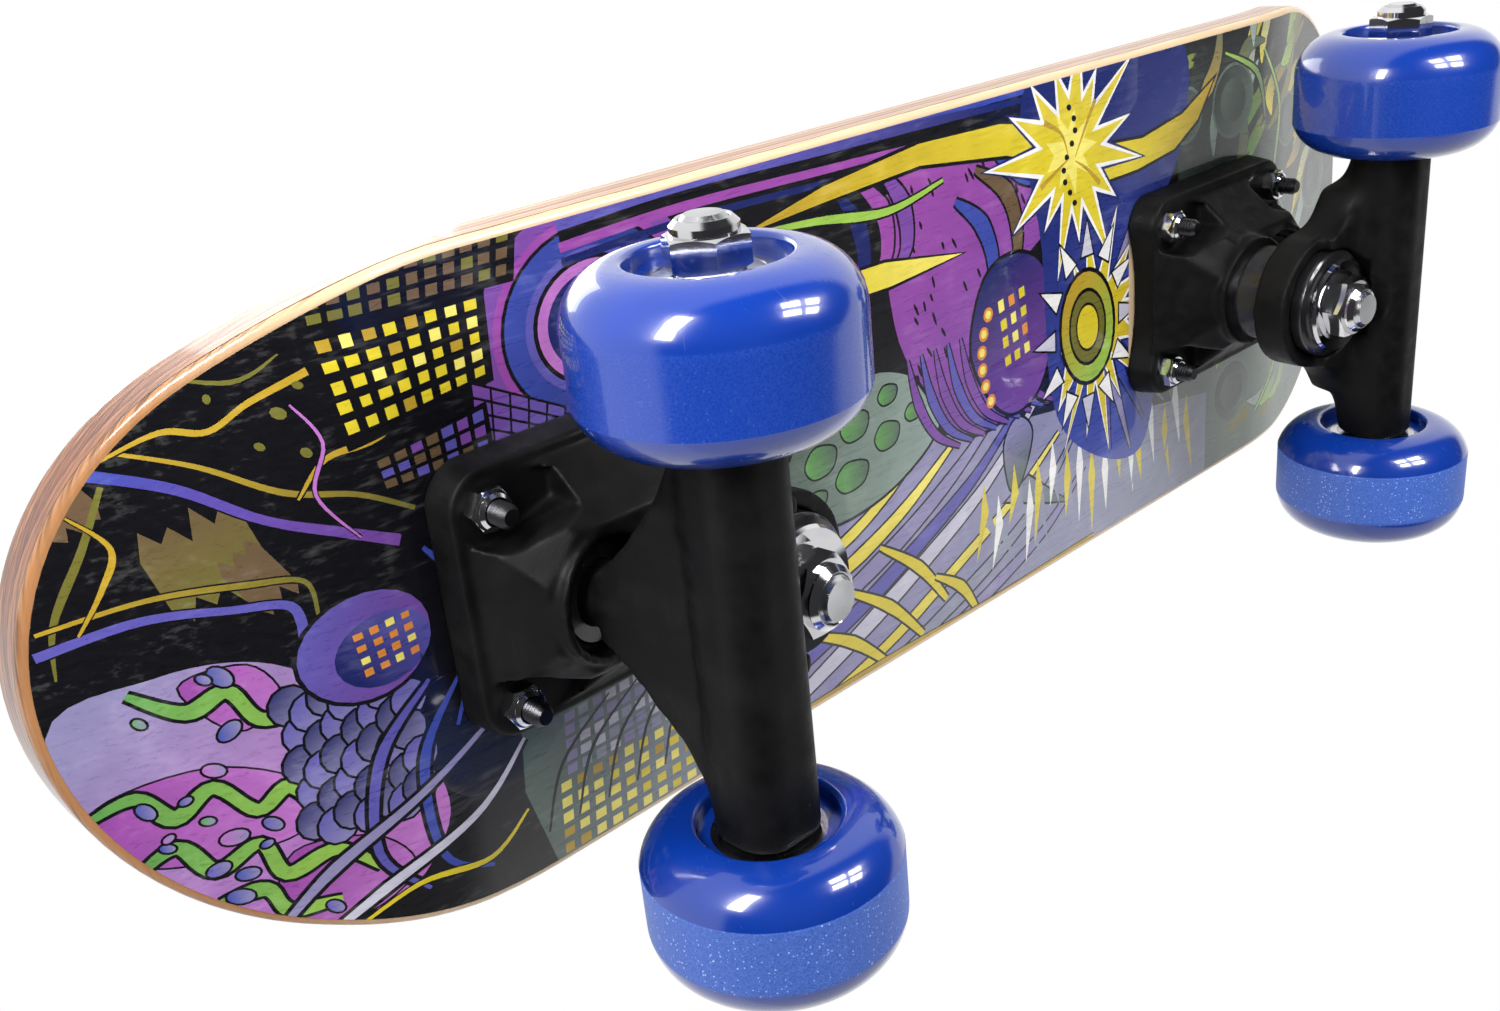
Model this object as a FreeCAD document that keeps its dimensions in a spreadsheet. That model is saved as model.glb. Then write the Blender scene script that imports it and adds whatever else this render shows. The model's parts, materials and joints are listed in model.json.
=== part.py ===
import FreeCAD, Part
import math
import os

import Sketcher
from FreeCAD import Placement, Rotation, Vector

# Mini skateboard: a laminated deck with grip tape, two kingpin trucks and four wheels on ball bearings.
# Frame: X along the board with the steep tail at -X, Y across it, Z up; the wheels stand on z = 0.
# A truck is drawn in its own frame: u runs from the axle towards the middle of the board.

SIZES = {
    # deck
    "deck_length": 440.0, "deck_width": 135.0, "deck_thickness": 11.0, "deck_height": 78.5,
    "deck_edge_round": 1.6, "grip_thickness": 0.9, "grip_inset": 0.8,
    "tail_flat": 148.0, "tail_bend": 80.0, "tail_angle": 21.5, "tail_corner": 115.0, "tail_tip": 62.0,
    "nose_flat": 146.0, "nose_bend": 120.0, "nose_angle": 10.5, "nose_corner": 56.0, "nose_tip": 110.0,
    # running gear layout
    "wheelbase": 240.0, "truck_shift": -2.0, "track": 106.0,
    # wheel
    "wheel_diameter": 50.0, "wheel_width": 30.0, "shoulder_width": 7.5, "shoulder_radius": 10.5,
    "outer_round": 10.0, "wheel_opening": 27.2, "wheel_lip": 1.0, "hub_bore": 16.0,
    # ball bearing, 8 x 22 x 7
    "bearing_bore": 8.0, "bearing_outer": 22.0, "bearing_width": 7.0, "bearing_gap": 10.0,
    "race_share": 0.243, "ball_share": 0.567, "ball_play": 0.08, "cage_wall": 1.2, "cage_width": 2.8,
    "shield_thickness": 0.35, "washer_thickness": 0.8, "fit_gap": 0.03, "thread_gap": 0.12,
    "nut_lead": 0.2, "nut_bevel": 0.5, "loose_gap": 0.15, "press_gap": 0.005, "washer_radius": 5.4,
    "spacer_radius": 5.0, "shield_inset": 0.15, "shield_gap": 0.3,
    # axle nut
    "axle_nut_flats": 13.0, "axle_nut_height": 8.0, "axle_end": 0.6,
    # truck base
    "base_length": 70.0, "base_width": 58.0, "base_centre": 6.3, "base_corner": 9.0,
    "base_flange": 8.0, "base_hollow": 3.5, "base_draft": 8.0, "mass_depth": 21.5,
    "mass_length": 48.0, "mass_width": 29.0, "mass_centre": 5.5, "mass_corner": 8.0,
    "seat_radius": 15.0, "seat_lip": 5.0,
    "bolt_length_pitch": 54.0, "bolt_width_pitch": 41.3, "bolt_diameter": 4.8, "bolt_hole": 5.6,
    "bolt_head": 9.2, "bolt_head_depth": 2.7, "bolt_head_rim": 0.3, "sink_gap": 0.3, "bolt_reach": 9.0,
    "thread_runout": 1.2, "recess_length": 4.6, "recess_slot": 0.9, "recess_depth": 1.6, "mass_inset": 2.5,
    "pocket_radius": 7.6,
    "pocket_reach": 15.0, "pocket_end": 3.0, "bolt_nut_flats": 8.0, "bolt_nut_height": 4.6,
    # kingpin stack, measured along the kingpin from the middle of the hanger ring
    "kingpin_tilt": 5.0, "ring_inboard": 17.0, "ring_height": 37.5, "kingpin_diameter": 9.5,
    "kingpin_head": 16.4, "kingpin_head_depth": 6.0, "seat_above": 15.8, "kingpin_end": 17.6,
    "ring_radius": 18.0, "ring_above": 5.0, "ring_below": 4.3, "ring_web": 2.6, "ring_hole": 16.0,
    "top_bushing_radius": 12.8, "low_bushing_radius": 14.2, "low_bushing_end": 7.8,
    "bushing_gap": 0.35, "cup_washer_radius": 12.5, "plain_washer_radius": 11.6,
    "king_washer_thickness": 1.2, "king_nut_flats": 14.3, "king_nut_height": 7.4, "kingpin_thread": 9.5,
    "bushing_edge": 0.8, "dish_roll": 1.1,
    # hanger
    "beam_width": 18.0, "beam_height": 18.0, "beam_edge": 7.0, "web_thickness": 11.0,
    "web_half_base": 40.0, "web_curve": 62.0, "web_tip": 6.6, "neck_half": 29.0, "neck_curve": 14.0,
    "nut_room": 11.0, "washer_room": 14.3, "bushing_room": 15.4, "beam_end_gap": 0.8,
    "web_tip_back": 4.0, "neck_step": 0.6, "neck_drop": 3.0, "washer_depth": 1.6, "stem_flare": 1.6,
    "stem_waist": 8.0,
    # pivot
    "pivot_outboard": 5.5, "pivot_height": 60.0, "pivot_tilt": 14.0, "pivot_ball": 13.0,
    "pivot_cup_radius": 9.6, "pivot_cup_depth": 8.5, "pivot_cup_vent": 3.0, "pivot_play": 0.15,
    "pivot_room": 11.6, "pivot_boss": 13.5,
}
BALLS = 7
THREAD_PITCH = 0.8
AXLE_PITCH = 1.25
THREAD_DEPTH = 0.32  # share of the pitch
ROD_BEVEL = 0.8
OVERLAP = 1.0  # how far a feature runs into the one it joins
BEYOND = 10.0  # how far a cutter runs past what it cuts

doc = FreeCAD.newDocument("skateboard")
sheet = doc.addObject("Spreadsheet::Sheet", "Sizes")
for row, (alias, number) in enumerate(SIZES.items(), start=1):
    sheet.set("A%d" % row, alias.replace("_", " "))
    sheet.set("B%d" % row, str(number))
    sheet.setAlias("B%d" % row, alias)
doc.recompute()


class Size:
    """A length or angle: its value now, and the formula that works it out from the sheet."""

    def __init__(self, value, text):
        self.value = float(value)
        self.text = text

    @staticmethod
    def of(other):
        return other if isinstance(other, Size) else Size(other, "%.9g" % other)

    def _join(self, other, sign, value):
        return Size(value, "(%s %s %s)" % (self.text, sign, other.text))

    def __add__(self, other):
        other = Size.of(other)
        return self._join(other, "+", self.value + other.value)

    def __sub__(self, other):
        other = Size.of(other)
        return self._join(other, "-", self.value - other.value)

    def __mul__(self, other):
        other = Size.of(other)
        return self._join(other, "*", self.value * other.value)

    def __truediv__(self, other):
        other = Size.of(other)
        return self._join(other, "/", self.value / other.value)

    def __radd__(self, other):
        return Size.of(other) + self

    def __rsub__(self, other):
        return Size.of(other) - self

    def __rmul__(self, other):
        return Size.of(other) * self

    def __neg__(self):
        return self * -1


def root(size):
    return Size(math.sqrt(size.value), "sqrt(%s)" % size.text)


def sine(size):
    return Size(math.sin(math.radians(size.value)), "sin(%s)" % size.text)


def cosine(size):
    return Size(math.cos(math.radians(size.value)), "cos(%s)" % size.text)


def slope_angle(across, up):
    degrees = math.degrees(math.atan2(across.value, up.value))
    return Size(degrees, "atan2(%s; %s)" % (across.text, up.text))


class Sheet:
    """Reads each alias of the sheet as a Size."""

    def __getattr__(self, alias):
        return Size(sheet.get(alias), "Sizes." + alias)


S = Sheet()
NODES = []


def bind(thing, prop, size):
    """Set a property from the sheet."""
    thing.setExpression(prop, Size.of(size).text)


def node(thing, name):
    """Name a finished sub-part, which is also the name of its file."""
    thing.Label = name
    NODES.append(thing)
    return thing


# ---------------------------------------------------------------- drawing helpers

def origin_plane(body, role):
    return [item for item in body.Origin.OriginFeatures if item.Role == role][0]


def arc_centre(start, end, radius):
    """Centre of the minor arc from start to end; a negative radius bends it the other way."""
    across = end[0] - start[0]
    up = end[1] - start[1]
    chord = math.hypot(across, up)
    rise = math.sqrt(max(radius * radius - chord * chord / 4.0, 0.0)) * math.copysign(1.0, radius)
    return Vector((start[0] + end[0]) / 2 - up / chord * rise,
                  (start[1] + end[1]) / 2 + across / chord * rise, 0)


def draw_loop(sketch, corners):
    """Draw counter-clockwise corners (across, up), or (across, up, radius) where an arc leads on."""
    first = sketch.GeometryCount
    count = len(corners)
    points = [(Size.of(corner[0]).value, Size.of(corner[1]).value) for corner in corners]
    ends = []
    for index, corner in enumerate(corners):
        start = points[index]
        end = points[(index + 1) % count]
        if len(corner) == 3:
            radius = Size.of(corner[2]).value
            centre = arc_centre(start, end, radius)
            angles = [math.atan2(point[1] - centre.y, point[0] - centre.x) for point in (start, end)]
            if radius < 0:
                angles.reverse()
            circle = Part.Circle(centre, Vector(0, 0, 1), abs(radius))
            sketch.addGeometry(Part.ArcOfCircle(circle, angles[0], angles[1]), False)
            ends.append((2, 1) if radius < 0 else (1, 2))
        else:
            line = Part.LineSegment(Vector(start[0], start[1], 0), Vector(end[0], end[1], 0))
            sketch.addGeometry(line, False)
            ends.append((1, 2))
    for index in range(count):
        after = (index + 1) % count
        sketch.addConstraint(Sketcher.Constraint("Coincident", first + index, ends[index][1],
                                                 first + after, ends[after][0]))
    for index, corner in enumerate(corners):
        for kind, size in (("DistanceX", corner[0]), ("DistanceY", corner[1])):
            pin_down(sketch, Sketcher.Constraint(kind, -1, 1, first + index, ends[index][0],
                                                 Size.of(size).value), size)
        if len(corner) == 3:
            radius = Size.of(corner[2])
            radius = -radius if radius.value < 0 else radius
            pin_down(sketch, Sketcher.Constraint("Radius", first + index, radius.value), radius)


def pin_down(sketch, constraint, size):
    """Add a dimension and tie it to the sheet."""
    index = sketch.addConstraint(constraint)
    sketch.setExpression("Constraints[%d]" % index, Size.of(size).text)


def draw_circle(sketch, across, up, radius):
    index = sketch.GeometryCount
    centre = Vector(Size.of(across).value, Size.of(up).value, 0)
    sketch.addGeometry(Part.Circle(centre, Vector(0, 0, 1), Size.of(radius).value), False)
    pin_down(sketch, Sketcher.Constraint("DistanceX", -1, 1, index, 3, centre.x), across)
    pin_down(sketch, Sketcher.Constraint("DistanceY", -1, 1, index, 3, centre.y), up)
    pin_down(sketch, Sketcher.Constraint("Radius", index, Size.of(radius).value), radius)


def sketch_on(body, role, name, loops=(), circles=(), at=(0, 0, 0), turn=None):
    """A sketch on one of the body's origin planes, shifted by at and turned by (axis, angle)."""
    sketch = body.newObject("Sketcher::SketchObject", name)
    sketch.AttachmentSupport = [(origin_plane(body, role), "")]
    sketch.MapMode = "FlatFace"
    shift = [Size.of(size) for size in at]
    rotation = Rotation(turn[0], turn[1].value) if turn else Rotation()
    sketch.AttachmentOffset = Placement(Vector(*[size.value for size in shift]), rotation)
    for letter, size in zip("xyz", shift):
        bind(sketch, ".AttachmentOffset.Base." + letter, size)
    if turn:
        bind(sketch, ".AttachmentOffset.Rotation.Angle", turn[1])
    for loop in loops:
        draw_loop(sketch, loop)
    for circle in circles:
        draw_circle(sketch, *circle)
    return sketch


def new_body(name):
    return doc.addObject("PartDesign::Body", name)


def pad(body, sketch, length, midplane=False, reverse=False, taper=None):
    feature = body.newObject("PartDesign::Pad", sketch.Name + "_pad")
    feature.Profile = sketch
    feature.Midplane = midplane
    feature.Reversed = reverse
    bind(feature, "Length", length)
    if taper is not None:
        bind(feature, "TaperAngle", taper)
    doc.recompute()
    return feature


def pocket(body, sketch, length, reverse=False, midplane=False):
    """Cut a sketch out of the body, and stop if it removed nothing."""
    before = body.Shape.Volume
    feature = body.newObject("PartDesign::Pocket", sketch.Name + "_cut")
    feature.Profile = sketch
    feature.Midplane = midplane
    feature.Reversed = reverse
    bind(feature, "Length", length)
    doc.recompute()
    if body.Shape.Volume > before - 0.5:
        raise RuntimeError("%s cuts nothing" % feature.Name)
    return feature


def revolve(body, sketch):
    feature = body.newObject("PartDesign::Revolution", sketch.Name + "_turn")
    feature.Profile = sketch
    feature.ReferenceAxis = (sketch, ["V_Axis"])
    feature.Angle = 360
    doc.recompute()
    return feature


def turned(name, profile):
    """A body of revolution about its own Z from a profile of (radius, height) corners."""
    body = new_body(name)
    revolve(body, sketch_on(body, "XZ_Plane", name + "_profile", [profile]))
    return body


def round_edges(body, name, radius, chosen):
    """Round the edges of the body's tip that the test picks."""
    feature = body.Tip
    names = ["Edge%d" % (index + 1) for index, edge in enumerate(feature.Shape.Edges) if chosen(edge)]
    fillet = body.newObject("PartDesign::Fillet", name)
    fillet.Base = (feature, names)
    bind(fillet, "Radius", radius)
    doc.recompute()
    return fillet


def move(thing, x, y, z, rotation=None):
    """Place a sub-part; its position follows the sheet."""
    place = [Size.of(size) for size in (x, y, z)]
    thing.Placement = Placement(Vector(*[size.value for size in place]), rotation or Rotation())
    for letter, size in zip("xyz", place):
        bind(thing, ".Placement.Base." + letter, size)
    return thing


def group(name, members):
    compound = doc.addObject("Part::Compound", name)
    compound.Links = members
    return compound


def cut(name, base, tool):
    result = doc.addObject("Part::Cut", name)
    result.Base = base
    result.Tool = tool
    return result


def common(name, base, tool):
    result = doc.addObject("Part::Common", name)
    result.Base = base
    result.Tool = tool
    return result


# ---------------------------------------------------------------- frames

class Truck:
    """One end of the board: end is -1 at the tail and +1 at the nose."""

    def __init__(self, end, prefix):
        self.end = end
        self.prefix = prefix
        self.x = S.truck_shift + S.wheelbase / 2 * end
        self.spin = Rotation(Vector(0, 0, 1), 180 if end > 0 else 0)

    def place(self, thing, u=0, z=0, y=0, tilt=None):
        """Place a piece drawn in the truck's frame, leaning by tilt about the axle line."""
        lean = Rotation(Vector(0, 1, 0), -tilt.value) if tilt else Rotation()
        side = -Size.of(y) if self.end > 0 else Size.of(y)
        return move(thing, self.x - Size.of(u) * self.end, side, z, self.spin.multiply(lean))

    def on_kingpin(self, thing, along=0):
        """Place a piece on the kingpin, along millimetres below the middle of the ring."""
        along = Size.of(along)
        u = S.ring_inboard + along * sine(S.kingpin_tilt)
        z = S.ring_height - along * cosine(S.kingpin_tilt)
        return self.place(thing, u, z, tilt=S.kingpin_tilt)


TAIL = Truck(-1, "tail_")
NOSE = Truck(1, "nose_")
AXLE_HEIGHT = S.wheel_diameter / 2
DECK_TOP = S.deck_height + S.deck_thickness
GRIP_TOP = DECK_TOP + S.grip_thickness
NUT_SEAT = S.deck_height - S.base_flange


# ---------------------------------------------------------------- deck and grip tape

def side_profile(lower, upper):
    """The board seen from the side between two offsets above the deck's underside, past both tips."""
    beyond = S.deck_length / 2 + BEYOND
    tail_x = S.truck_shift - S.tail_flat
    nose_x = S.truck_shift + S.nose_flat
    sides = []
    for offset in (lower, upper):
        tail_r = S.tail_bend - offset
        nose_r = S.nose_bend - offset
        tail_bend_x = tail_x - tail_r * sine(S.tail_angle)
        tail_bend_z = S.deck_height + S.tail_bend - tail_r * cosine(S.tail_angle)
        nose_bend_x = nose_x + nose_r * sine(S.nose_angle)
        nose_bend_z = S.deck_height + S.nose_bend - nose_r * cosine(S.nose_angle)
        tail_slope = sine(S.tail_angle) / cosine(S.tail_angle)
        nose_slope = sine(S.nose_angle) / cosine(S.nose_angle)
        sides.append([
            (-beyond, tail_bend_z + (tail_bend_x + beyond) * tail_slope),
            (tail_bend_x, tail_bend_z), (tail_x, S.deck_height + offset),
            (nose_x, S.deck_height + offset), (nose_bend_x, nose_bend_z),
            (beyond, nose_bend_z + (beyond - nose_bend_x) * nose_slope),
        ])
    below, above = sides
    below[1] += (S.tail_bend - lower,)
    below[3] += (S.nose_bend - lower,)
    above.reverse()
    above[1] += (upper - S.nose_bend,)
    above[3] += (upper - S.tail_bend,)
    return below + above


def end_arcs(inset, corner_radius, tip_radius):
    """Distances back from the tip, and out from the centre line, of an end's two arc junctions."""
    half = S.deck_width / 2 - inset
    corner = corner_radius - inset
    tip = tip_radius - inset
    wider_tip = tip.value > corner.value
    reach = root((tip - corner) * (tip - corner) - (half - corner) * (half - corner))
    corner_back = tip - reach if wider_tip else tip + reach
    slant = (tip - corner) if wider_tip else (corner - tip)
    side = (half - corner) if wider_tip else (corner - half)
    junction_back = tip - reach * tip / slant
    junction_out = side * tip / slant
    return corner, tip, corner_back, junction_back, junction_out


def plan_outline(inset):
    """The board's outline from above: straight sides joined to each end by a corner and a tip arc."""
    half_length = S.deck_length / 2 - inset
    half = S.deck_width / 2 - inset
    t_corner, t_tip, t_back, t_join, t_out = end_arcs(inset, S.tail_corner, S.tail_tip)
    n_corner, n_tip, n_back, n_join, n_out = end_arcs(inset, S.nose_corner, S.nose_tip)
    return [
        (t_back - half_length, -half), (half_length - n_back, -half, n_corner),
        (half_length - n_join, -n_out, n_tip), (half_length - n_join, n_out, n_corner),
        (half_length - n_back, half), (t_back - half_length, half, t_corner),
        (t_join - half_length, t_out, t_tip), (t_join - half_length, -t_out, t_corner),
    ]


def board_layer(name, lower, upper, inset):
    """A bent sheet between two offsets, trimmed to the plan outline."""
    body = new_body(name)
    profile = sketch_on(body, "XZ_Plane", name + "_side", [side_profile(lower, upper)])
    pad(body, profile, S.deck_width + 2 * BEYOND, midplane=True)
    margin_x = S.deck_length / 2 + 2 * BEYOND
    margin_y = S.deck_width / 2 + 2 * BEYOND
    frame = [(-margin_x, -margin_y), (margin_x, -margin_y), (margin_x, margin_y), (-margin_x, margin_y)]
    trim = sketch_on(body, "XY_Plane", name + "_plan", [frame, plan_outline(inset)])
    pocket(body, trim, 4 * DECK_TOP, midplane=True)
    return body


def bolt_spots(truck):
    """Where the truck's four bolts pass, as (x, y)."""
    spots = []
    for along in (-1, 1):
        for side in (-1, 1):
            u = S.base_centre + S.bolt_length_pitch / 2 * along
            spots.append((truck.x - u * truck.end, S.bolt_width_pitch / 2 * side))
    return spots


def bored(name, body, width):
    """Bore the eight bolt holes through a board layer."""
    circles = []
    for truck in (TAIL, NOSE):
        for x, y in bolt_spots(truck):
            circles.append((x, y, width / 2))
    pocket(body, sketch_on(body, "XY_Plane", name + "_bores", circles=circles), 4 * DECK_TOP, midplane=True)


def build_deck():
    """The bent deck with eased rims, bored and countersunk for the eight bolts."""
    deck = board_layer("deck_blank", Size.of(0), S.deck_thickness, Size.of(0))

    def is_rim(edge):
        middle = edge.valueAt((edge.FirstParameter + edge.LastParameter) / 2)
        inside = abs(middle.y) < S.deck_width.value / 2 - 0.01 and abs(middle.x) < 40
        return not inside and not is_upright(edge)

    round_edges(deck, "deck_rounding", S.deck_edge_round, is_rim)
    bored("deck", deck, S.bolt_hole)
    sinks = []
    for truck in (TAIL, NOSE):
        for x, y in bolt_spots(truck):
            cone = doc.addObject("Part::Cone", "countersink")
            bind(cone, "Radius1", S.bolt_diameter / 2 + S.sink_gap)
            bind(cone, "Radius2", S.bolt_head / 2 + S.sink_gap)
            bind(cone, "Height", S.bolt_head_depth)
            sinks.append(move(cone, x, y, GRIP_TOP - S.bolt_head_depth))
    node(cut("deck_sunk", deck, group("deck_sinks", sinks)), "deck")


def is_upright(edge):
    """An edge whose two ends lie one above the other."""
    ends = [vertex.Point for vertex in edge.Vertexes]
    if len(ends) < 2:
        return False
    return math.hypot(ends[0].x - ends[1].x, ends[0].y - ends[1].y) < 0.01


def build_grip():
    """The grip tape, which follows the deck's top inside its rounded rim."""
    grip = board_layer("grip_sheet", S.deck_thickness, S.deck_thickness + S.grip_thickness,
                       S.grip_inset + S.deck_edge_round)
    bored("grip", grip, S.bolt_head + 2 * S.sink_gap)
    node(grip, "grip_tape")


# ---------------------------------------------------------------- fasteners

def thread_profile(radius, pitch, low, high):
    """Corners going up a thread drawn as rings, from low to high."""
    corners = []
    depth = pitch * THREAD_DEPTH
    turns = int((high.value - low.value) / pitch)
    for turn in range(turns):
        corners.append((radius - depth, low + pitch * turn))
        corners.append((radius, low + pitch * (turn + 0.5)))
    corners.append((radius, high))
    return corners


def build_bolts(truck):
    """Four countersunk bolts through deck and base, their threaded ends showing past the nuts."""
    length = GRIP_TOP - NUT_SEAT + S.bolt_reach
    bolts = []
    for x, y in bolt_spots(truck):
        radius = S.bolt_diameter / 2
        head = S.bolt_head / 2
        profile = [(Size.of(0), Size.of(0)), (radius - ROD_BEVEL, Size.of(0))]
        profile += thread_profile(radius, THREAD_PITCH, Size.of(ROD_BEVEL), S.bolt_reach + S.thread_runout)
        profile += [(radius, length - S.bolt_head_depth), (head, length - S.bolt_head_rim),
                    (head, length), (Size.of(0), length)]
        blank = turned(truck.prefix + "bolt", profile)
        slots = []
        for across, along in ((S.recess_slot, S.recess_length), (S.recess_length, S.recess_slot)):
            slot = doc.addObject("Part::Box", "recess")
            bind(slot, "Length", across)
            bind(slot, "Width", along)
            bind(slot, "Height", S.bolt_head_depth)
            slots.append(move(slot, -across / 2, -along / 2, length - S.recess_depth))
        bolt = cut(truck.prefix + "bolt_driven", blank, group("cross", slots))
        bolts.append(move(bolt, x, y, NUT_SEAT - S.bolt_reach))
    node(group(truck.prefix + "bolts", bolts), truck.prefix + "mounting_bolts")


def lock_nut(name, flats, bore, height):
    """A hexagon nut with a round locking collar below it; it seats at its own z = height."""
    corner = flats / (2 * math.cos(math.radians(30)))
    collar = height * 0.3
    round_off = flats * 0.08
    wide = flats * 0.44
    inner = bore + S.thread_gap
    lead = S.nut_lead
    bevel = S.nut_bevel
    blank = turned(name + "_blank", [
        (inner + lead, Size.of(0)), (wide - round_off, Size.of(0)), (wide, round_off),
        (wide, collar), (flats / 2, collar), (corner, collar + bevel), (corner, height - bevel),
        (flats / 2 + lead / 2, height), (inner + lead, height), (inner, height - lead), (inner, lead),
    ])
    prism = doc.addObject("Part::Prism", name + "_hexagon")
    prism.Polygon = 6
    bind(prism, "Circumradius", corner)
    bind(prism, "Height", height)
    return common(name, blank, prism)


def build_bolt_nuts(truck):
    """The four nuts that clamp the base to the deck."""
    nuts = []
    for x, y in bolt_spots(truck):
        nut = lock_nut(truck.prefix + "bolt_nut", S.bolt_nut_flats, S.bolt_diameter / 2, S.bolt_nut_height)
        nuts.append(move(nut, x, y, NUT_SEAT - S.bolt_nut_height))
    node(group(truck.prefix + "nuts", nuts), truck.prefix + "bolt_nuts")


# ---------------------------------------------------------------- truck base

def chamfered(centre, half_u, half_y, corner):
    """A rectangle with its corners cut off, counter-clockwise."""
    return [(centre - half_u + corner, -half_y), (centre + half_u - corner, -half_y),
            (centre + half_u, corner - half_y), (centre + half_u, half_y - corner),
            (centre + half_u - corner, half_y), (centre - half_u + corner, half_y),
            (centre - half_u, half_y - corner), (centre - half_u, corner - half_y)]


def build_base(truck):
    """Moulded base: flange, tapered mass, bolt pockets, bushing seat, pivot socket and kingpin bore."""
    body = new_body(truck.prefix + "base")
    half_u = S.base_length / 2
    half_y = S.base_width / 2
    r = S.base_corner
    outer = S.base_centre - half_u
    inner = S.base_centre + half_u
    # the flange's inboard edge is hollow: its arc dips by base_hollow between the corners
    span = half_y - r
    dip = (span * span + S.base_hollow * S.base_hollow) / (2 * S.base_hollow)
    flange = [(outer + r, -half_y), (inner - r, -half_y, r), (inner, -span, -dip), (inner, span, r),
              (inner - r, half_y), (outer + r, half_y, r), (outer, span), (outer, -span, r)]
    plate = sketch_on(body, "XY_Plane", truck.prefix + "flange", [flange], at=(0, 0, S.deck_height))
    pad(body, plate, S.base_flange, reverse=True, taper=-S.base_draft)
    # tapered mass between the flange and the sockets
    shape = chamfered(S.base_centre, half_u - S.mass_inset, half_y - S.mass_inset, r)
    foot = sketch_on(body, "XY_Plane", truck.prefix + "foot", [shape], at=(0, 0, NUT_SEAT + OVERLAP))
    head = sketch_on(body, "XY_Plane", truck.prefix + "crown",
                     [chamfered(S.mass_centre, S.mass_length / 2, S.mass_width / 2, S.mass_corner)],
                     at=(0, 0, S.deck_height - S.mass_depth))
    loft = body.newObject("PartDesign::AdditiveLoft", truck.prefix + "mass")
    loft.Profile = foot
    loft.Sections = [head]
    loft.Ruled = True
    doc.recompute()
    # round seat for the board-side bushing, square to the kingpin
    turn = (Vector(0, 1, 0), -S.kingpin_tilt)
    seat_u = S.ring_inboard - S.seat_above * sine(S.kingpin_tilt)
    seat_z = S.ring_height + S.seat_above * cosine(S.kingpin_tilt)
    seat = sketch_on(body, "XY_Plane", truck.prefix + "seat", circles=[(0, 0, S.seat_radius)],
                     at=(seat_u, 0, seat_z), turn=turn)
    pad(body, seat, S.seat_lip)
    # boss round the pivot socket
    lean = (Vector(0, 1, 0), -S.pivot_tilt)
    reach = S.pivot_height - S.deck_height + S.mass_depth
    mouth_u = reach * sine(S.pivot_tilt) - S.pivot_outboard
    mouth_z = S.pivot_height - reach * cosine(S.pivot_tilt)
    boss = sketch_on(body, "XY_Plane", truck.prefix + "boss", circles=[(0, 0, S.pivot_boss)],
                     at=(mouth_u, 0, mouth_z), turn=lean)
    pad(body, boss, S.mass_depth / 2)
    # pockets round the bolts, narrowing towards the middle of the base
    circles = []
    wedges = []
    for along in (-1, 1):
        for side in (-1, 1):
            u = S.base_centre + S.bolt_length_pitch / 2 * along
            y = S.bolt_width_pitch / 2 * side
            tip = u - S.pocket_reach * along
            circles.append((u, y, S.pocket_radius))
            wedge = [(u, y - S.pocket_radius), (u, y + S.pocket_radius),
                     (tip, y + S.pocket_end), (tip, y - S.pocket_end)]
            if along < 0:
                wedge.reverse()
            wedges.append(wedge)
    rounds = sketch_on(body, "XY_Plane", truck.prefix + "pockets", circles=circles, at=(0, 0, NUT_SEAT))
    pocket(body, rounds, S.base_flange + S.mass_depth)
    tails = sketch_on(body, "XY_Plane", truck.prefix + "pocket_tails", wedges, at=(0, 0, NUT_SEAT))
    pocket(body, tails, S.base_flange + S.mass_depth)
    # bolt holes
    holes = [(u, y, S.bolt_hole / 2) for u, y, unused in circles]
    pocket(body, sketch_on(body, "XY_Plane", truck.prefix + "bolt_holes", circles=holes,
                           at=(0, 0, S.deck_height)), S.base_flange + OVERLAP)
    # room for the hanger's pivot, and the bore that holds the rubber cup
    room = sketch_on(body, "XY_Plane", truck.prefix + "pivot_room", circles=[(0, 0, S.pivot_room)],
                     at=(-S.pivot_outboard, 0, S.pivot_height), turn=lean)
    pocket(body, room, S.mass_depth)
    socket = sketch_on(body, "XY_Plane", truck.prefix + "pivot_bore",
                       circles=[(0, 0, S.pivot_cup_radius + S.fit_gap)],
                       at=(-S.pivot_outboard, 0, S.pivot_height), turn=lean)
    pocket(body, socket, S.pivot_cup_depth, reverse=True)
    # kingpin bore and the round recess for its head, open towards the deck
    top = (S.deck_height - S.ring_height) / cosine(S.kingpin_tilt) + BEYOND
    bore = sketch_on(body, "XY_Plane", truck.prefix + "kingpin_bore",
                     circles=[(0, 0, S.kingpin_diameter / 2 + S.fit_gap)],
                     at=(S.ring_inboard - top * sine(S.kingpin_tilt), 0,
                         S.ring_height + top * cosine(S.kingpin_tilt)), turn=turn)
    pocket(body, bore, top)
    head_low = kingpin_head_low()
    recess = sketch_on(body, "XY_Plane", truck.prefix + "kingpin_recess",
                       circles=[(0, 0, S.kingpin_head / 2 + S.loose_gap)],
                       at=(S.ring_inboard - head_low * sine(S.kingpin_tilt), 0,
                           S.ring_height + head_low * cosine(S.kingpin_tilt)), turn=turn)
    pocket(body, recess, S.kingpin_head_depth + BEYOND, reverse=True)
    node(truck.place(body), truck.prefix + "baseplate")


def kingpin_head_low():
    """Height of the kingpin head's underside along the kingpin, above the middle of the ring."""
    tilted_drop = S.kingpin_head / 2 * sine(S.kingpin_tilt)
    deck_above = (S.deck_height - S.ring_height - tilted_drop) / cosine(S.kingpin_tilt)
    return deck_above - S.kingpin_head_depth - 2 * S.loose_gap


# ---------------------------------------------------------------- kingpin stack

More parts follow.
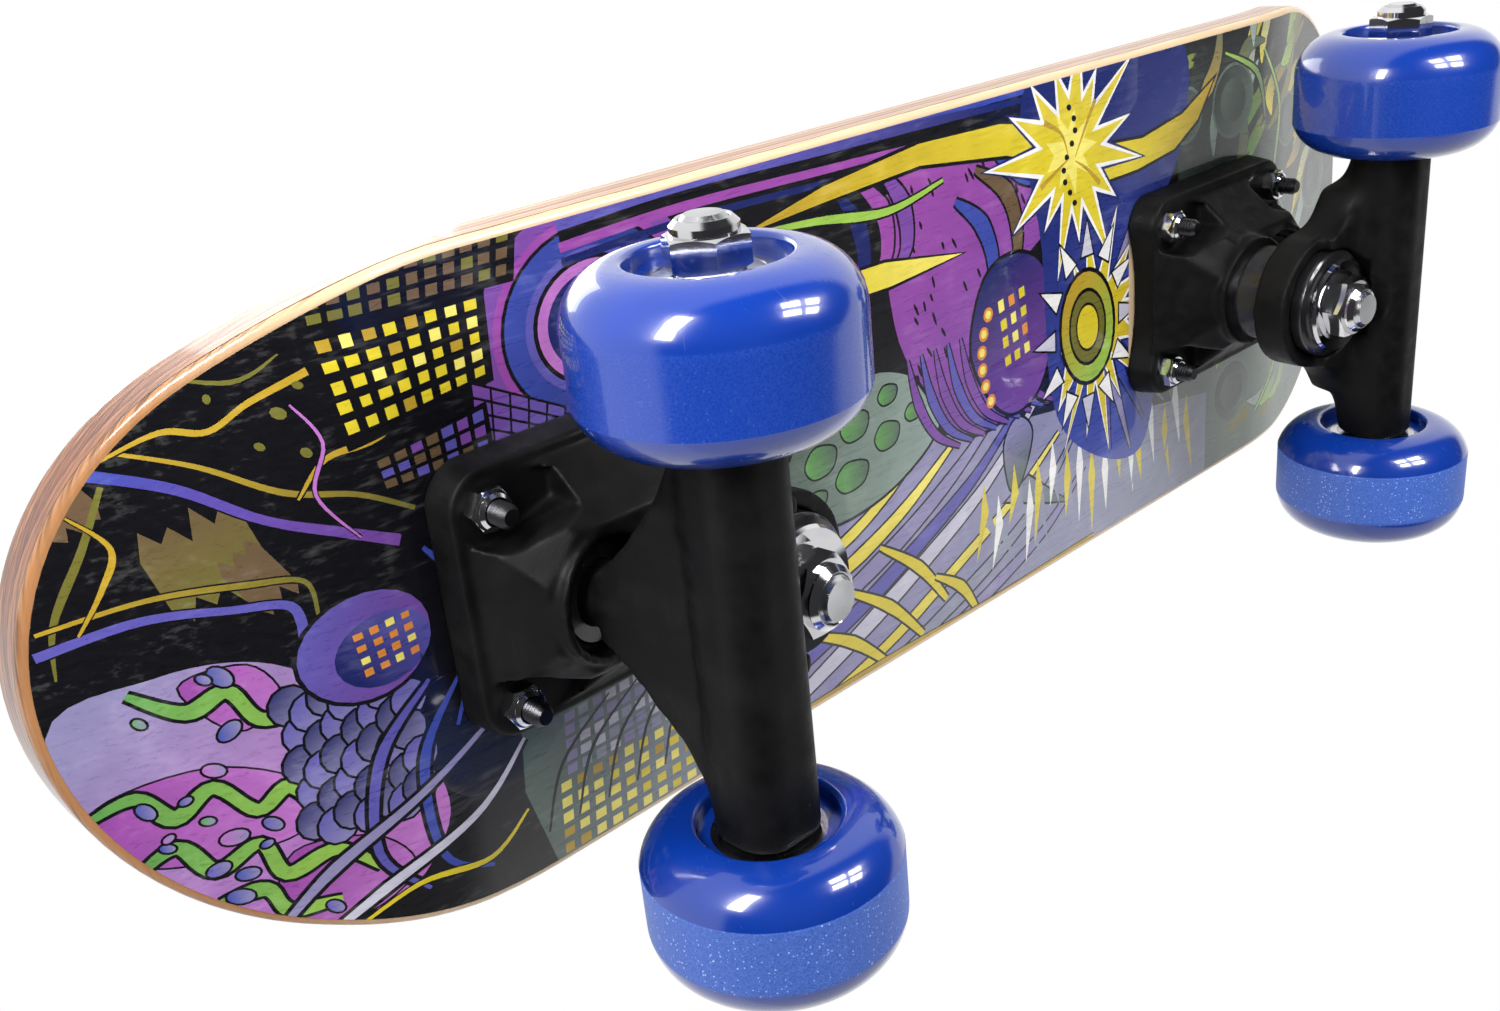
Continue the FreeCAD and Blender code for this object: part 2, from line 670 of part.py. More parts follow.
def build_kingpin(truck):
    """The bolt through base and hanger, its round head held under the deck."""
    radius = S.kingpin_diameter / 2
    head = S.kingpin_head / 2
    end = -S.kingpin_end
    high = kingpin_head_low()
    top = high + S.kingpin_head_depth
    profile = [(Size.of(0), end), (radius - ROD_BEVEL, end)]
    profile += thread_profile(radius, AXLE_PITCH, end + ROD_BEVEL, end + S.kingpin_thread)
    profile += [(radius, high), (head, high), (head, top), (Size.of(0), top)]
    node(truck.on_kingpin(turned(truck.prefix + "pin", profile)), truck.prefix + "kingpin")


def ring_of(name, inner, outer, low, high, edge):
    """A plain turned ring with its outer corners cut."""
    return turned(name, [(inner, low), (outer - edge, low), (outer, low + edge), (outer, high - edge),
                         (outer - edge, high), (inner, high)])


def build_bushings(truck):
    """Rubber bushings either side of the ring's web, and the two washers that press on them."""
    bore = S.kingpin_diameter / 2 + S.loose_gap
    washer_low = S.seat_above - S.king_washer_thickness
    web = S.ring_web / 2
    top = ring_of(truck.prefix + "top_rubber", bore, S.top_bushing_radius, web + S.fit_gap,
                  washer_low - S.fit_gap, S.bushing_edge)
    node(truck.on_kingpin(top), truck.prefix + "board_bushing")
    low = ring_of(truck.prefix + "low_rubber", bore, S.low_bushing_radius, -S.low_bushing_end,
                  -web - S.fit_gap, S.bushing_edge)
    node(truck.on_kingpin(low), truck.prefix + "road_bushing")
    inner = S.kingpin_diameter / 2 + S.fit_gap
    flat = turned(truck.prefix + "flat_washer", [
        (inner, washer_low), (S.plain_washer_radius, washer_low),
        (S.plain_washer_radius, S.seat_above - S.fit_gap), (inner, S.seat_above - S.fit_gap)])
    thick = S.king_washer_thickness
    face = -S.low_bushing_end - S.fit_gap
    rim = S.cup_washer_radius
    roll = S.dish_roll
    # dished washer: flat on the rubber, its rim rolled towards the road
    cup = turned(truck.prefix + "cup_washer", [
        (inner, face - thick), (rim - 3 * roll, face - thick), (rim - roll / 2, face - thick - roll),
        (rim, face - thick - roll / 4), (rim - 1.25 * roll, face), (inner, face)])
    pair = group(truck.prefix + "washers", [flat, cup])
    node(truck.on_kingpin(pair), truck.prefix + "kingpin_washers")
    nut = lock_nut(truck.prefix + "king_nut", S.king_nut_flats, S.kingpin_diameter / 2, S.king_nut_height)
    seat = S.low_bushing_end + S.king_washer_thickness + 2 * S.fit_gap
    node(truck.on_kingpin(nut, seat + S.king_nut_height), truck.prefix + "kingpin_nut")


def build_pivot_cup(truck):
    """Rubber cup in the base, with a ball-shaped hollow for the hanger's pivot."""
    ball = S.pivot_ball / 2 + S.pivot_play
    wall = S.pivot_cup_radius
    vent = S.pivot_cup_vent / 2
    top = S.pivot_cup_depth - S.pivot_play
    cup = turned(truck.prefix + "cup", [
        (ball, Size.of(0)), (wall, Size.of(0)), (wall, top), (vent, top),
        (vent, root(ball * ball - vent * vent), -ball)])
    truck.place(cup, -S.pivot_outboard, S.pivot_height, tilt=S.pivot_tilt)
    node(cup, truck.prefix + "pivot_cup")


# ---------------------------------------------------------------- hanger

def build_hanger(truck):
    """Moulded hanger: axle beam, curved web up to the pivot, ring for the bushings and its necks."""
    body = new_body(truck.prefix + "beam")
    half = S.beam_width / 2
    tall = S.beam_height / 2
    edge = S.beam_edge
    beam_half = S.track / 2 - S.bearing_gap / 2 - S.bearing_width - S.beam_end_gap
    section = [(edge - half, -tall), (half - edge, -tall, edge), (half, edge - tall),
               (half, tall - edge, edge), (half - edge, tall), (edge - half, tall, edge),
               (-half, tall - edge), (-half, edge - tall, edge)]
    beam = sketch_on(body, "XZ_Plane", truck.prefix + "beam_section", [section], at=(0, AXLE_HEIGHT, 0))
    pad(body, beam, beam_half * 2, midplane=True)
    # web: a plate through the axle and the pivot, with hollow sides
    rise = S.pivot_height - AXLE_HEIGHT
    web_length = root(rise * rise + S.pivot_outboard * S.pivot_outboard)
    lean = -slope_angle(S.pivot_outboard, rise)
    tip = web_length - S.web_tip_back
    web = sketch_on(body, "YZ_Plane", truck.prefix + "web_plan", [[
        (-S.web_half_base, Size.of(0)), (S.web_half_base, Size.of(0)),
        (S.web_half_base, S.beam_height / 2 - OVERLAP, -S.web_curve),
        (S.web_tip, tip), (-S.web_tip, tip, -S.web_curve),
        (-S.web_half_base, S.beam_height / 2 - OVERLAP)]], at=(0, AXLE_HEIGHT, 0),
                     turn=(Vector(1, 0, 0), lean))
    pad(body, web, S.web_thickness, midplane=True)
    # ring and its necks, square to the kingpin
    turn = (Vector(0, 1, 0), -S.kingpin_tilt)

    def on_ring(name, above, loops=(), circles=()):
        return sketch_on(body, "XY_Plane", truck.prefix + name, loops, circles,
                         at=(S.ring_inboard - above * sine(S.kingpin_tilt), 0,
                             S.ring_height + above * cosine(S.kingpin_tilt)), turn=turn)

    thick = S.ring_above + S.ring_below
    pad(body, on_ring("ring", S.ring_above, circles=[(0, 0, S.ring_radius)]), thick, reverse=True)
    back = -S.ring_inboard
    side = S.ring_radius - S.loose_gap
    neck = [(back, -S.neck_half), (half - S.ring_inboard, -S.neck_half, -S.neck_curve),
            (Size.of(2 * OVERLAP), -side), (Size.of(2 * OVERLAP), side, -S.neck_curve),
            (half - S.ring_inboard, S.neck_half), (back, S.neck_half)]
    pad(body, on_ring("neck", S.ring_above - S.neck_step, [neck]), thick + S.neck_drop, reverse=True)
    # pivot: a taper with a ball end
    ball = S.pivot_ball / 2
    stem = S.pivot_height - AXLE_HEIGHT - S.beam_height / 2
    nose = sketch_on(body, "XZ_Plane", truck.prefix + "pivot_profile", [[
        (Size.of(0), -stem), (ball + S.stem_flare, -stem), (ball, -S.stem_waist),
        (ball, Size.of(0), ball), (Size.of(0), ball)]],
                     at=(-S.pivot_outboard, S.pivot_height, 0), turn=(Vector(0, 0, 1), S.pivot_tilt))
    revolve(body, nose)
    # seats for the two bushings, the hole between them and room for washer and nut
    room = S.bushing_gap
    top_seat = on_ring("top_seat", S.ring_web / 2, circles=[(0, 0, S.top_bushing_radius + room)])
    pocket(body, top_seat, S.ring_above + S.neck_drop, reverse=True)
    behind = on_ring("behind_bushing", S.ring_above + S.fit_gap, circles=[(0, 0, S.bushing_room)])
    pocket(body, behind, S.seat_above - S.ring_above + room, reverse=True)
    pocket(body, on_ring("low_seat", -S.ring_web / 2, circles=[(0, 0, S.low_bushing_radius + room)]),
           S.low_bushing_end)
    pocket(body, on_ring("washer_room", -S.ring_web / 2, circles=[(0, 0, S.washer_room)]),
           S.low_bushing_end + S.king_washer_thickness + S.washer_depth)
    pocket(body, on_ring("nut_room", -S.ring_web / 2, circles=[(0, 0, S.nut_room)]), S.ring_height)
    pocket(body, on_ring("ring_hole", S.ring_web, circles=[(0, 0, S.ring_hole / 2)]), 2 * S.ring_web)
    # bore for the axle
    bore = sketch_on(body, "XZ_Plane", truck.prefix + "axle_bore",
                     circles=[(0, 0, S.bearing_bore / 2 + S.press_gap)], at=(0, AXLE_HEIGHT, 0))
    pocket(body, bore, beam_half * 2 + BEYOND, midplane=True)
    node(truck.place(body), truck.prefix + "hanger")


# ---------------------------------------------------------------- axle and wheels

def nut_face():
    """Distance from the board's centre line to the inner face of an axle nut."""
    return S.track / 2 + S.bearing_gap / 2 + S.bearing_width + S.washer_thickness


def build_axle(truck):
    """The rod through the hanger's beam, threaded at both ends."""
    radius = S.bearing_bore / 2
    end = nut_face() + S.axle_nut_height + S.axle_end
    start = end - S.axle_nut_height - S.thread_runout
    upper = thread_profile(radius, AXLE_PITCH, start, end - ROD_BEVEL)
    lower = [(corner[0], -corner[1]) for corner in reversed(upper)]
    profile = [(Size.of(0), -end), (radius - ROD_BEVEL, -end)] + lower
    profile += [(radius, -start), (radius, start)] + upper
    profile += [(radius - ROD_BEVEL, end), (Size.of(0), end)]
    axle = turned(truck.prefix + "rod", profile)
    node(move(axle, truck.x, 0, AXLE_HEIGHT, Rotation(Vector(1, 0, 0), -90)), truck.prefix + "axle")


class Corner:
    """One wheel's place: its truck, and the side of the board it is on."""

    def __init__(self, truck, side, word):
        self.truck = truck
        self.side = side
        self.prefix = truck.prefix + word

    def place(self, thing, out=0):
        """Place a piece turned about its own Z, which points away from the board, out from the wheel."""
        y = (S.track / 2 + Size.of(out)) * self.side
        return move(thing, self.truck.x, y, AXLE_HEIGHT, Rotation(Vector(1, 0, 0), -90 * self.side))


def wheel_profile():
    """The tyre's section: a crisp tread edge towards the board's middle, a full round on the outside."""
    half = S.wheel_width / 2
    outer = S.outer_round
    arc = S.shoulder_radius
    tread = half - S.shoulder_width
    reach = arc - S.shoulder_width
    side_radius = S.wheel_diameter / 2 - root(arc * arc - reach * reach)
    mouth = S.wheel_opening / 2
    lip = S.wheel_lip
    seat = S.bearing_outer / 2 + S.fit_gap
    low = S.bearing_gap / 2
    high = low + S.bearing_width
    bore = S.hub_bore / 2
    rim = S.wheel_diameter / 2
    return [
        (bore, -low), (seat, -low), (seat, -high), (mouth, -high), (mouth, lip - half, lip),
        (mouth + lip, -half), (side_radius, -half, arc), (rim, -tread), (rim, half - outer, outer),
        (rim - outer, half), (mouth + lip, half, lip), (mouth, half - lip), (mouth, high),
        (seat, high), (seat, low), (bore, low)]


def build_wheel(corner):
    """The cast wheel."""
    node(corner.place(turned(corner.prefix + "tyre", wheel_profile())), corner.prefix + "wheel")


def build_bearings(corner):
    """Two ball bearings: races, balls in a cage, and shields on both faces."""
    middle = (S.bearing_gap + S.bearing_width) / 2
    half = S.bearing_width / 2
    outer = S.bearing_outer / 2
    inner = S.bearing_bore / 2 + S.fit_gap / 3
    pitch = (S.bearing_outer + S.bearing_bore) / 4
    section = (S.bearing_outer - S.bearing_bore) / 2
    race_wall = section * S.race_share
    ball_radius = section * S.ball_share / 2
    outer_bore = outer - race_wall
    inner_rim = S.bearing_bore / 2 + race_wall
    track = ball_radius + S.ball_play
    outer_half = root(track * track - (outer_bore - pitch) * (outer_bore - pitch))
    inner_half = root(track * track - (pitch - inner_rim) * (pitch - inner_rim))
    outer_rings, inner_rings, balls, shields = [], [], [], []
    for side in (-1, 1):
        place = middle * side
        name = corner.prefix + "bearing"
        ring = turned(name + "_outer", [
            (outer_bore, -half), (outer, -half), (outer, half), (outer_bore, half),
            (outer_bore, outer_half, -track), (outer_bore, -outer_half)])
        outer_rings.append(move(ring, 0, 0, place))
        ring = turned(name + "_inner", [
            (inner, -half), (inner_rim, -half), (inner_rim, -inner_half, -track), (inner_rim, inner_half),
            (inner_rim, half), (inner, half)])
        inner_rings.append(move(ring, 0, 0, place))
        ring_balls = []
        holes = []
        for index in range(BALLS):
            angle = math.radians(360.0 * index / BALLS)
            for radius, bucket in ((ball_radius, ring_balls), (ball_radius + S.ball_play, holes)):
                ball = doc.addObject("Part::Sphere", "ball")
                bind(ball, "Radius", radius)
                bucket.append(move(ball, pitch * math.cos(angle), pitch * math.sin(angle), 0))
        band = turned(name + "_band", [
            (pitch - S.cage_wall / 2, -S.cage_width / 2), (pitch + S.cage_wall / 2, -S.cage_width / 2),
            (pitch + S.cage_wall / 2, S.cage_width / 2), (pitch - S.cage_wall / 2, S.cage_width / 2)])
        cage = cut(name + "_cage", band, group(name + "_windows", holes))
        balls.append(move(group(name + "_set", ring_balls + [cage]), 0, 0, place))
        for face in (-1, 1):
            rest = (half - S.shield_inset) * face
            low = rest - S.shield_thickness if face > 0 else rest
            shield = turned(name + "_shield", [
                (inner_rim + S.shield_gap, Size.of(0)), (outer_bore - S.fit_gap, Size.of(0)),
                (outer_bore - S.fit_gap, S.shield_thickness),
                (inner_rim + S.shield_gap, S.shield_thickness)])
            shields.append(move(shield, 0, 0, place + low))
    for word, members in (("outer_rings", outer_rings), ("inner_rings", inner_rings),
                          ("bearing_balls", balls), ("bearing_shields", shields)):
        compound = corner.place(group(corner.prefix + word + "_set", members))
        node(compound, corner.prefix + word)


def build_axle_parts(corner):
    """Washers either side of the bearings, the spacer between them and the locking nut."""
    hole = S.bearing_bore / 2 + S.fit_gap
    reach = S.bearing_gap / 2 + S.bearing_width
    washers = []
    for low in (-reach - S.washer_thickness, reach):
        washer = turned(corner.prefix + "washer", [
            (hole, Size.of(0)), (S.washer_radius, Size.of(0)),
            (S.washer_radius, S.washer_thickness), (hole, S.washer_thickness)])
        washers.append(move(washer, 0, 0, low))
    node(corner.place(group(corner.prefix + "washer_pair", washers)), corner.prefix + "speed_washers")
    spacer = turned(corner.prefix + "tube", [
        (hole, -S.bearing_gap / 2), (S.spacer_radius, -S.bearing_gap / 2),
        (S.spacer_radius, S.bearing_gap / 2), (hole, S.bearing_gap / 2)])
    node(corner.place(spacer), corner.prefix + "bearing_spacer")
    nut = lock_nut(corner.prefix + "wheel_nut", S.axle_nut_flats, S.bearing_bore / 2, S.axle_nut_height)
    upside = Rotation(Vector(1, 0, 0), 90 * corner.side)
    out = nut_face() + S.axle_nut_height
    node(move(nut, corner.truck.x, out * corner.side, AXLE_HEIGHT, upside), corner.prefix + "axle_nut")


# ---------------------------------------------------------------- assembly

build_deck()
build_grip()
for truck in (TAIL, NOSE):
    build_base(truck)
    build_bolts(truck)
    build_bolt_nuts(truck)
    build_kingpin(truck)
    build_bushings(truck)
    build_pivot_cup(truck)
    build_hanger(truck)
    build_axle(truck)
    for side, word in ((-1, "right_"), (1, "left_")):
        corner = Corner(truck, side, word)
        build_wheel(corner)
        build_bearings(corner)
        build_axle_parts(corner)

doc.recompute()
for thing in doc.Objects:
    if "Invalid" in thing.State or "Error" in thing.State:
        raise RuntimeError("%s failed: %s" % (thing.Name, thing.State))
for thing in NODES:
    if thing.Shape.isNull() or not thing.Shape.isValid():
        raise RuntimeError("%s has no valid shape" % thing.Label)

os.makedirs("parts", exist_ok=True)
for thing in NODES:
    thing.Shape.exportStep("parts/%s.step" % thing.Label)
print("%d nodes, %d solids" % (len(NODES), sum(len(thing.Shape.Solids) for thing in NODES)))
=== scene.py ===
"""Looks of the small skateboard: printed and lacquered board, moulded trucks, cast wheels, plated steel."""

import json
import logging
import math
import random
from dataclasses import dataclass, field
from enum import Enum
from typing import Callable, Iterable, Sequence

import bmesh
import bpy
import numpy as np
from mathutils import Matrix, Vector
from mathutils.geometry import convex_hull_2d, delaunay_2d_cdt


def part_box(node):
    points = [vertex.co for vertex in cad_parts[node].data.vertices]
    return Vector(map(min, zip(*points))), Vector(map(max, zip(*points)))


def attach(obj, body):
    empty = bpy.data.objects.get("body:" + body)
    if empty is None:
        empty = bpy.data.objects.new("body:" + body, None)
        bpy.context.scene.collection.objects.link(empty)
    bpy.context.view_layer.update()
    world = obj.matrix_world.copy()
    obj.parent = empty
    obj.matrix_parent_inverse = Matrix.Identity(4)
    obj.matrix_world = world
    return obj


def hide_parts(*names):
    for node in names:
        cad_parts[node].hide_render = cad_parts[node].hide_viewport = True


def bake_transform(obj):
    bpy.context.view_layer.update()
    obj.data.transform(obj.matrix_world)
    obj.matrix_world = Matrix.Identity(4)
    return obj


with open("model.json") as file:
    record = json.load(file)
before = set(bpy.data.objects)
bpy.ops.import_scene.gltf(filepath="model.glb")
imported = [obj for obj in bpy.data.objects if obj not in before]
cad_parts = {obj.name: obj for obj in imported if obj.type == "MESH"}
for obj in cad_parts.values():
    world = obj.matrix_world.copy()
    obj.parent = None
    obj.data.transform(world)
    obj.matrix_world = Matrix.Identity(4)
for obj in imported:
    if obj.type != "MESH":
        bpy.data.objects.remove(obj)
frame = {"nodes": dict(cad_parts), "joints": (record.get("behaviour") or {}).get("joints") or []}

LOG = logging.getLogger("skateboard")
MM = 0.001

# Corners of a solid that lie closer than this are one corner.
WELD = 1e-6
# Faces that meet at more than this make a sharp edge.
CREASE = math.radians(30.0)
# How far from the board's middle each end's bend starts, its radius and its angle.
TAIL_BEND = (150 * MM, 80 * MM, math.radians(21.5))
NOSE_BEND = (144 * MM, 120 * MM, math.radians(10.5))

Point = tuple[float, float]
Point3 = tuple[float, float, float]
Colour = tuple[float, float, float, float]


def colour(code: str) -> Colour:
    """A linear colour from a six-figure screen colour.

    Args:
        code: red, green and blue as two hexadecimal figures each.

    Returns:
        Linear red, green and blue, and 1 for alpha.
    """
    parts = [int(code[i : i + 2], 16) / 255 for i in (0, 2, 4)]
    linear = [p / 12.92 if p < 0.04045 else ((p + 0.055) / 1.055) ** 2.4 for p in parts]
    return (linear[0], linear[1], linear[2], 1.0)


class Ink(Enum):
    """The inks of the printed underside."""

    BLACK = "0b0b10"
    NAVY = "18225e"
    BLUE = "3a49a0"
    VIOLET = "5b55a6"
    PURPLE = "77479a"
    MAGENTA = "94479c"
    PINK = "b56fbb"
    LILAC = "8d87ae"
    GREY = "8f93a6"
    PALE = "c6c3d2"
    TAN = "66523a"
    OLIVE = "6d6a2c"
    GOLD = "b5952b"
    YELLOW = "d9c52c"
    LEMON = "efe16c"
    ORANGE = "d98a33"
    GREEN = "5f9a4e"
    LIME = "95bd4b"
    MOSS = "55665a"
    MIST = "8fa197"
    WHITE = "efeee9"


@dataclass(frozen=True)
class Patch:
    """One flat area of ink, painted over what lies before it.

    Attributes:
        outline: its corners in millimetres along and across the board.
        ink: its ink, or None where the print is left out.
        fade: the ink that it turns into, if any.
        ends: where the fade starts and ends.
    """

    outline: tuple[Point, ...]
    ink: Ink | None
    fade: Ink | None = None
    ends: tuple[Point, Point] = ((0.0, 0.0), (1.0, 0.0))


def rounded(points: Sequence[Point], steps: int = 6, closed: bool = True) -> list[Point]:
    """A smooth curve through the points.

    Args:
        points: the points that it passes.
        steps: how many pieces each span gets.
        closed: True if it returns to its start.

    Returns:
        The points along it.
    """
    count = len(points)
    spans = count if closed else count - 1
    made: list[Point] = []
    for i in range(spans):
        if closed:
            a, b, c, d = (points[(i + k) % count] for k in (-1, 0, 1, 2))
        else:
            a, b = points[max(i - 1, 0)], points[i]
            c, d = points[i + 1], points[min(i + 2, count - 1)]
        for s in range(steps):
            t = s / steps
            made.append(tuple(
                0.5 * (2 * b[k] + (c[k] - a[k]) * t + (2 * a[k] - 5 * b[k] + 4 * c[k] - d[k]) * t * t
                       + (3 * b[k] - a[k] - 3 * c[k] + d[k]) * t**3)
                for k in (0, 1)
            ))
    if not closed:
        made.append(points[-1])
    return made


def stroke(path: Sequence[Point], widths: Sequence[float], smooth: bool = True) -> list[Point]:
    """The outline of a brush line.

    Args:
        path: the points along its middle.
        widths: its widths, spread evenly along it.
        smooth: True for a curved line.

    Returns:
        The outline's corners.
    """
    line = rounded(path, 7, closed=False) if smooth else list(path)
    left: list[Point] = []
    right: list[Point] = []
    last = len(line) - 1
    for i, (x, y) in enumerate(line):
        ax, ay = line[max(i - 1, 0)]
        bx, by = line[min(i + 1, last)]
        run = math.hypot(bx - ax, by - ay) or 1.0
        place = i / last * (len(widths) - 1)
        low = min(int(place), len(widths) - 2) if len(widths) > 1 else 0
        high = min(low + 1, len(widths) - 1)
        half = 0.5 * (widths[low] + (widths[high] - widths[low]) * (place - low))
        nx, ny = (ay - by) / run * half, (bx - ax) / run * half
        left.append((x + nx, y + ny))
        right.append((x - nx, y - ny))
    return left + right[::-1]


def grown(outline: Sequence[Point], by: float) -> list[Point]:
    """An outline moved outwards all round.

    Args:
        outline: its corners.
        by: how far it moves; below zero it shrinks.

    Returns:
        The moved corners.
    """
    count = len(outline)
    area = sum(outline[i - 1][0] * outline[i][1] - outline[i][0] * outline[i - 1][1] for i in range(count))
    side = by if area > 0 else -by
    made: list[Point] = []
    for i in range(count):
        (ax, ay), (bx, by_), (cx, cy) = outline[i - 1], outline[i], outline[(i + 1) % count]
        u = Vector((bx - ax, by_ - ay))
        v = Vector((cx - bx, cy - by_))
        if u.length < 1e-6 or v.length < 1e-6:
            made.append((bx, by_))
            continue
        u.normalize()
        v.normalize()
        middle = Vector((u.y + v.y, -u.x - v.x))
        if middle.length < 0.2:
            middle = u - v
        middle.normalize()
        turn = middle.dot(Vector((u.y, -u.x)))
        reach = side / max(turn, 0.38) if turn > 0 else side
        made.append((bx + middle.x * reach, by_ + middle.y * reach))
    return made


def lined(outline: Sequence[Point], ink: Ink, line: float = 0.7, fade: Ink | None = None,
          ends: tuple[Point, Point] = ((0.0, 0.0), (1.0, 0.0)), edge: Ink = Ink.BLACK) -> list[Patch]:
    """A patch of ink with a line round it.

    Args:
        outline: its corners.
        ink: its ink.
        line: how wide the line is.
        fade: the ink that it turns into, if any.
        ends: where the fade starts and ends.
        edge: the line's ink.

    Returns:
        The line's patch and the patch itself.
    """
    return [Patch(tuple(grown(outline, line)), edge), Patch(tuple(outline), ink, fade, ends)]


def burst(centre: Point, spikes: Sequence[tuple[float, float]], inner: float,
          rng: random.Random) -> list[Point]:
    """A jagged star.

    Args:
        centre: its middle.
        spikes: each spike's direction in degrees and its length, in order round the star.
        inner: how far its notches lie from the middle.
        rng: the source of its unevenness.

    Returns:
        Its corners.
    """
    made: list[Point] = []
    count = len(spikes)
    for i, (angle, length) in enumerate(spikes):
        following = spikes[(i + 1) % count][0] + (360 if i == count - 1 else 0)
        for turn, reach in ((angle, length), (0.5 * (angle + following), inner * rng.uniform(0.75, 1.2))):
            made.append((centre[0] + reach * math.cos(math.radians(turn)),
                         centre[1] + reach * math.sin(math.radians(turn))))
    return made


def oval(centre: Point, size: Point, turn: float = 0.0, steps: int = 16) -> list[Point]:
    """An ellipse.

    Args:
        centre: its middle.
        size: its two half widths.
        turn: its turn in degrees.
        steps: how many corners it has.

    Returns:
        Its corners.
    """
    c, s = math.cos(math.radians(turn)), math.sin(math.radians(turn))
    made: list[Point] = []
    for i in range(steps):
        a = 2 * math.pi * i / steps
        x, y = size[0] * math.cos(a), size[1] * math.sin(a)
        made.append((centre[0] + x * c - y * s, centre[1] + x * s + y * c))
    return made


def windows(corners: Sequence[Point], columns: int, rows: int, lit: Sequence[Ink | None], gap: float,
            rng: random.Random) -> list[Patch]:
    """Rows of windows on a four-cornered wall.

    Args:
        corners: the wall's corners in order.
        columns: windows along it.
        rows: windows up it.
        lit: the inks to choose from, None for a dark window.
        gap: the share of each window's room that stays dark.
        rng: the source of the choice.

    Returns:
        The windows' patches.
    """
    a, b, c, d = corners

    def spot(u: float, v: float) -> Point:
        """The place at shares u and v of the wall."""
        return tuple((a[k] * (1 - u) + b[k] * u) * (1 - v) + (d[k] * (1 - u) + c[k] * u) * v for k in (0, 1))

    made: list[Patch] = []
    for i in range(columns):
        for j in range(rows):
            ink = rng.choice(list(lit))
            if ink is None:
                continue
            low_u = (i + gap * rng.uniform(0.4, 0.6)) / columns
            high_u = (i + 1 - gap * rng.uniform(0.4, 0.6)) / columns
            low_v = (j + gap * rng.uniform(0.4, 0.6)) / rows
            high_v = (j + 1 - gap * rng.uniform(0.4, 0.6)) / rows
            made.append(Patch((spot(low_u, low_v), spot(high_u, low_v), spot(high_u, high_v),
                               spot(low_u, high_v)), ink))
    return made


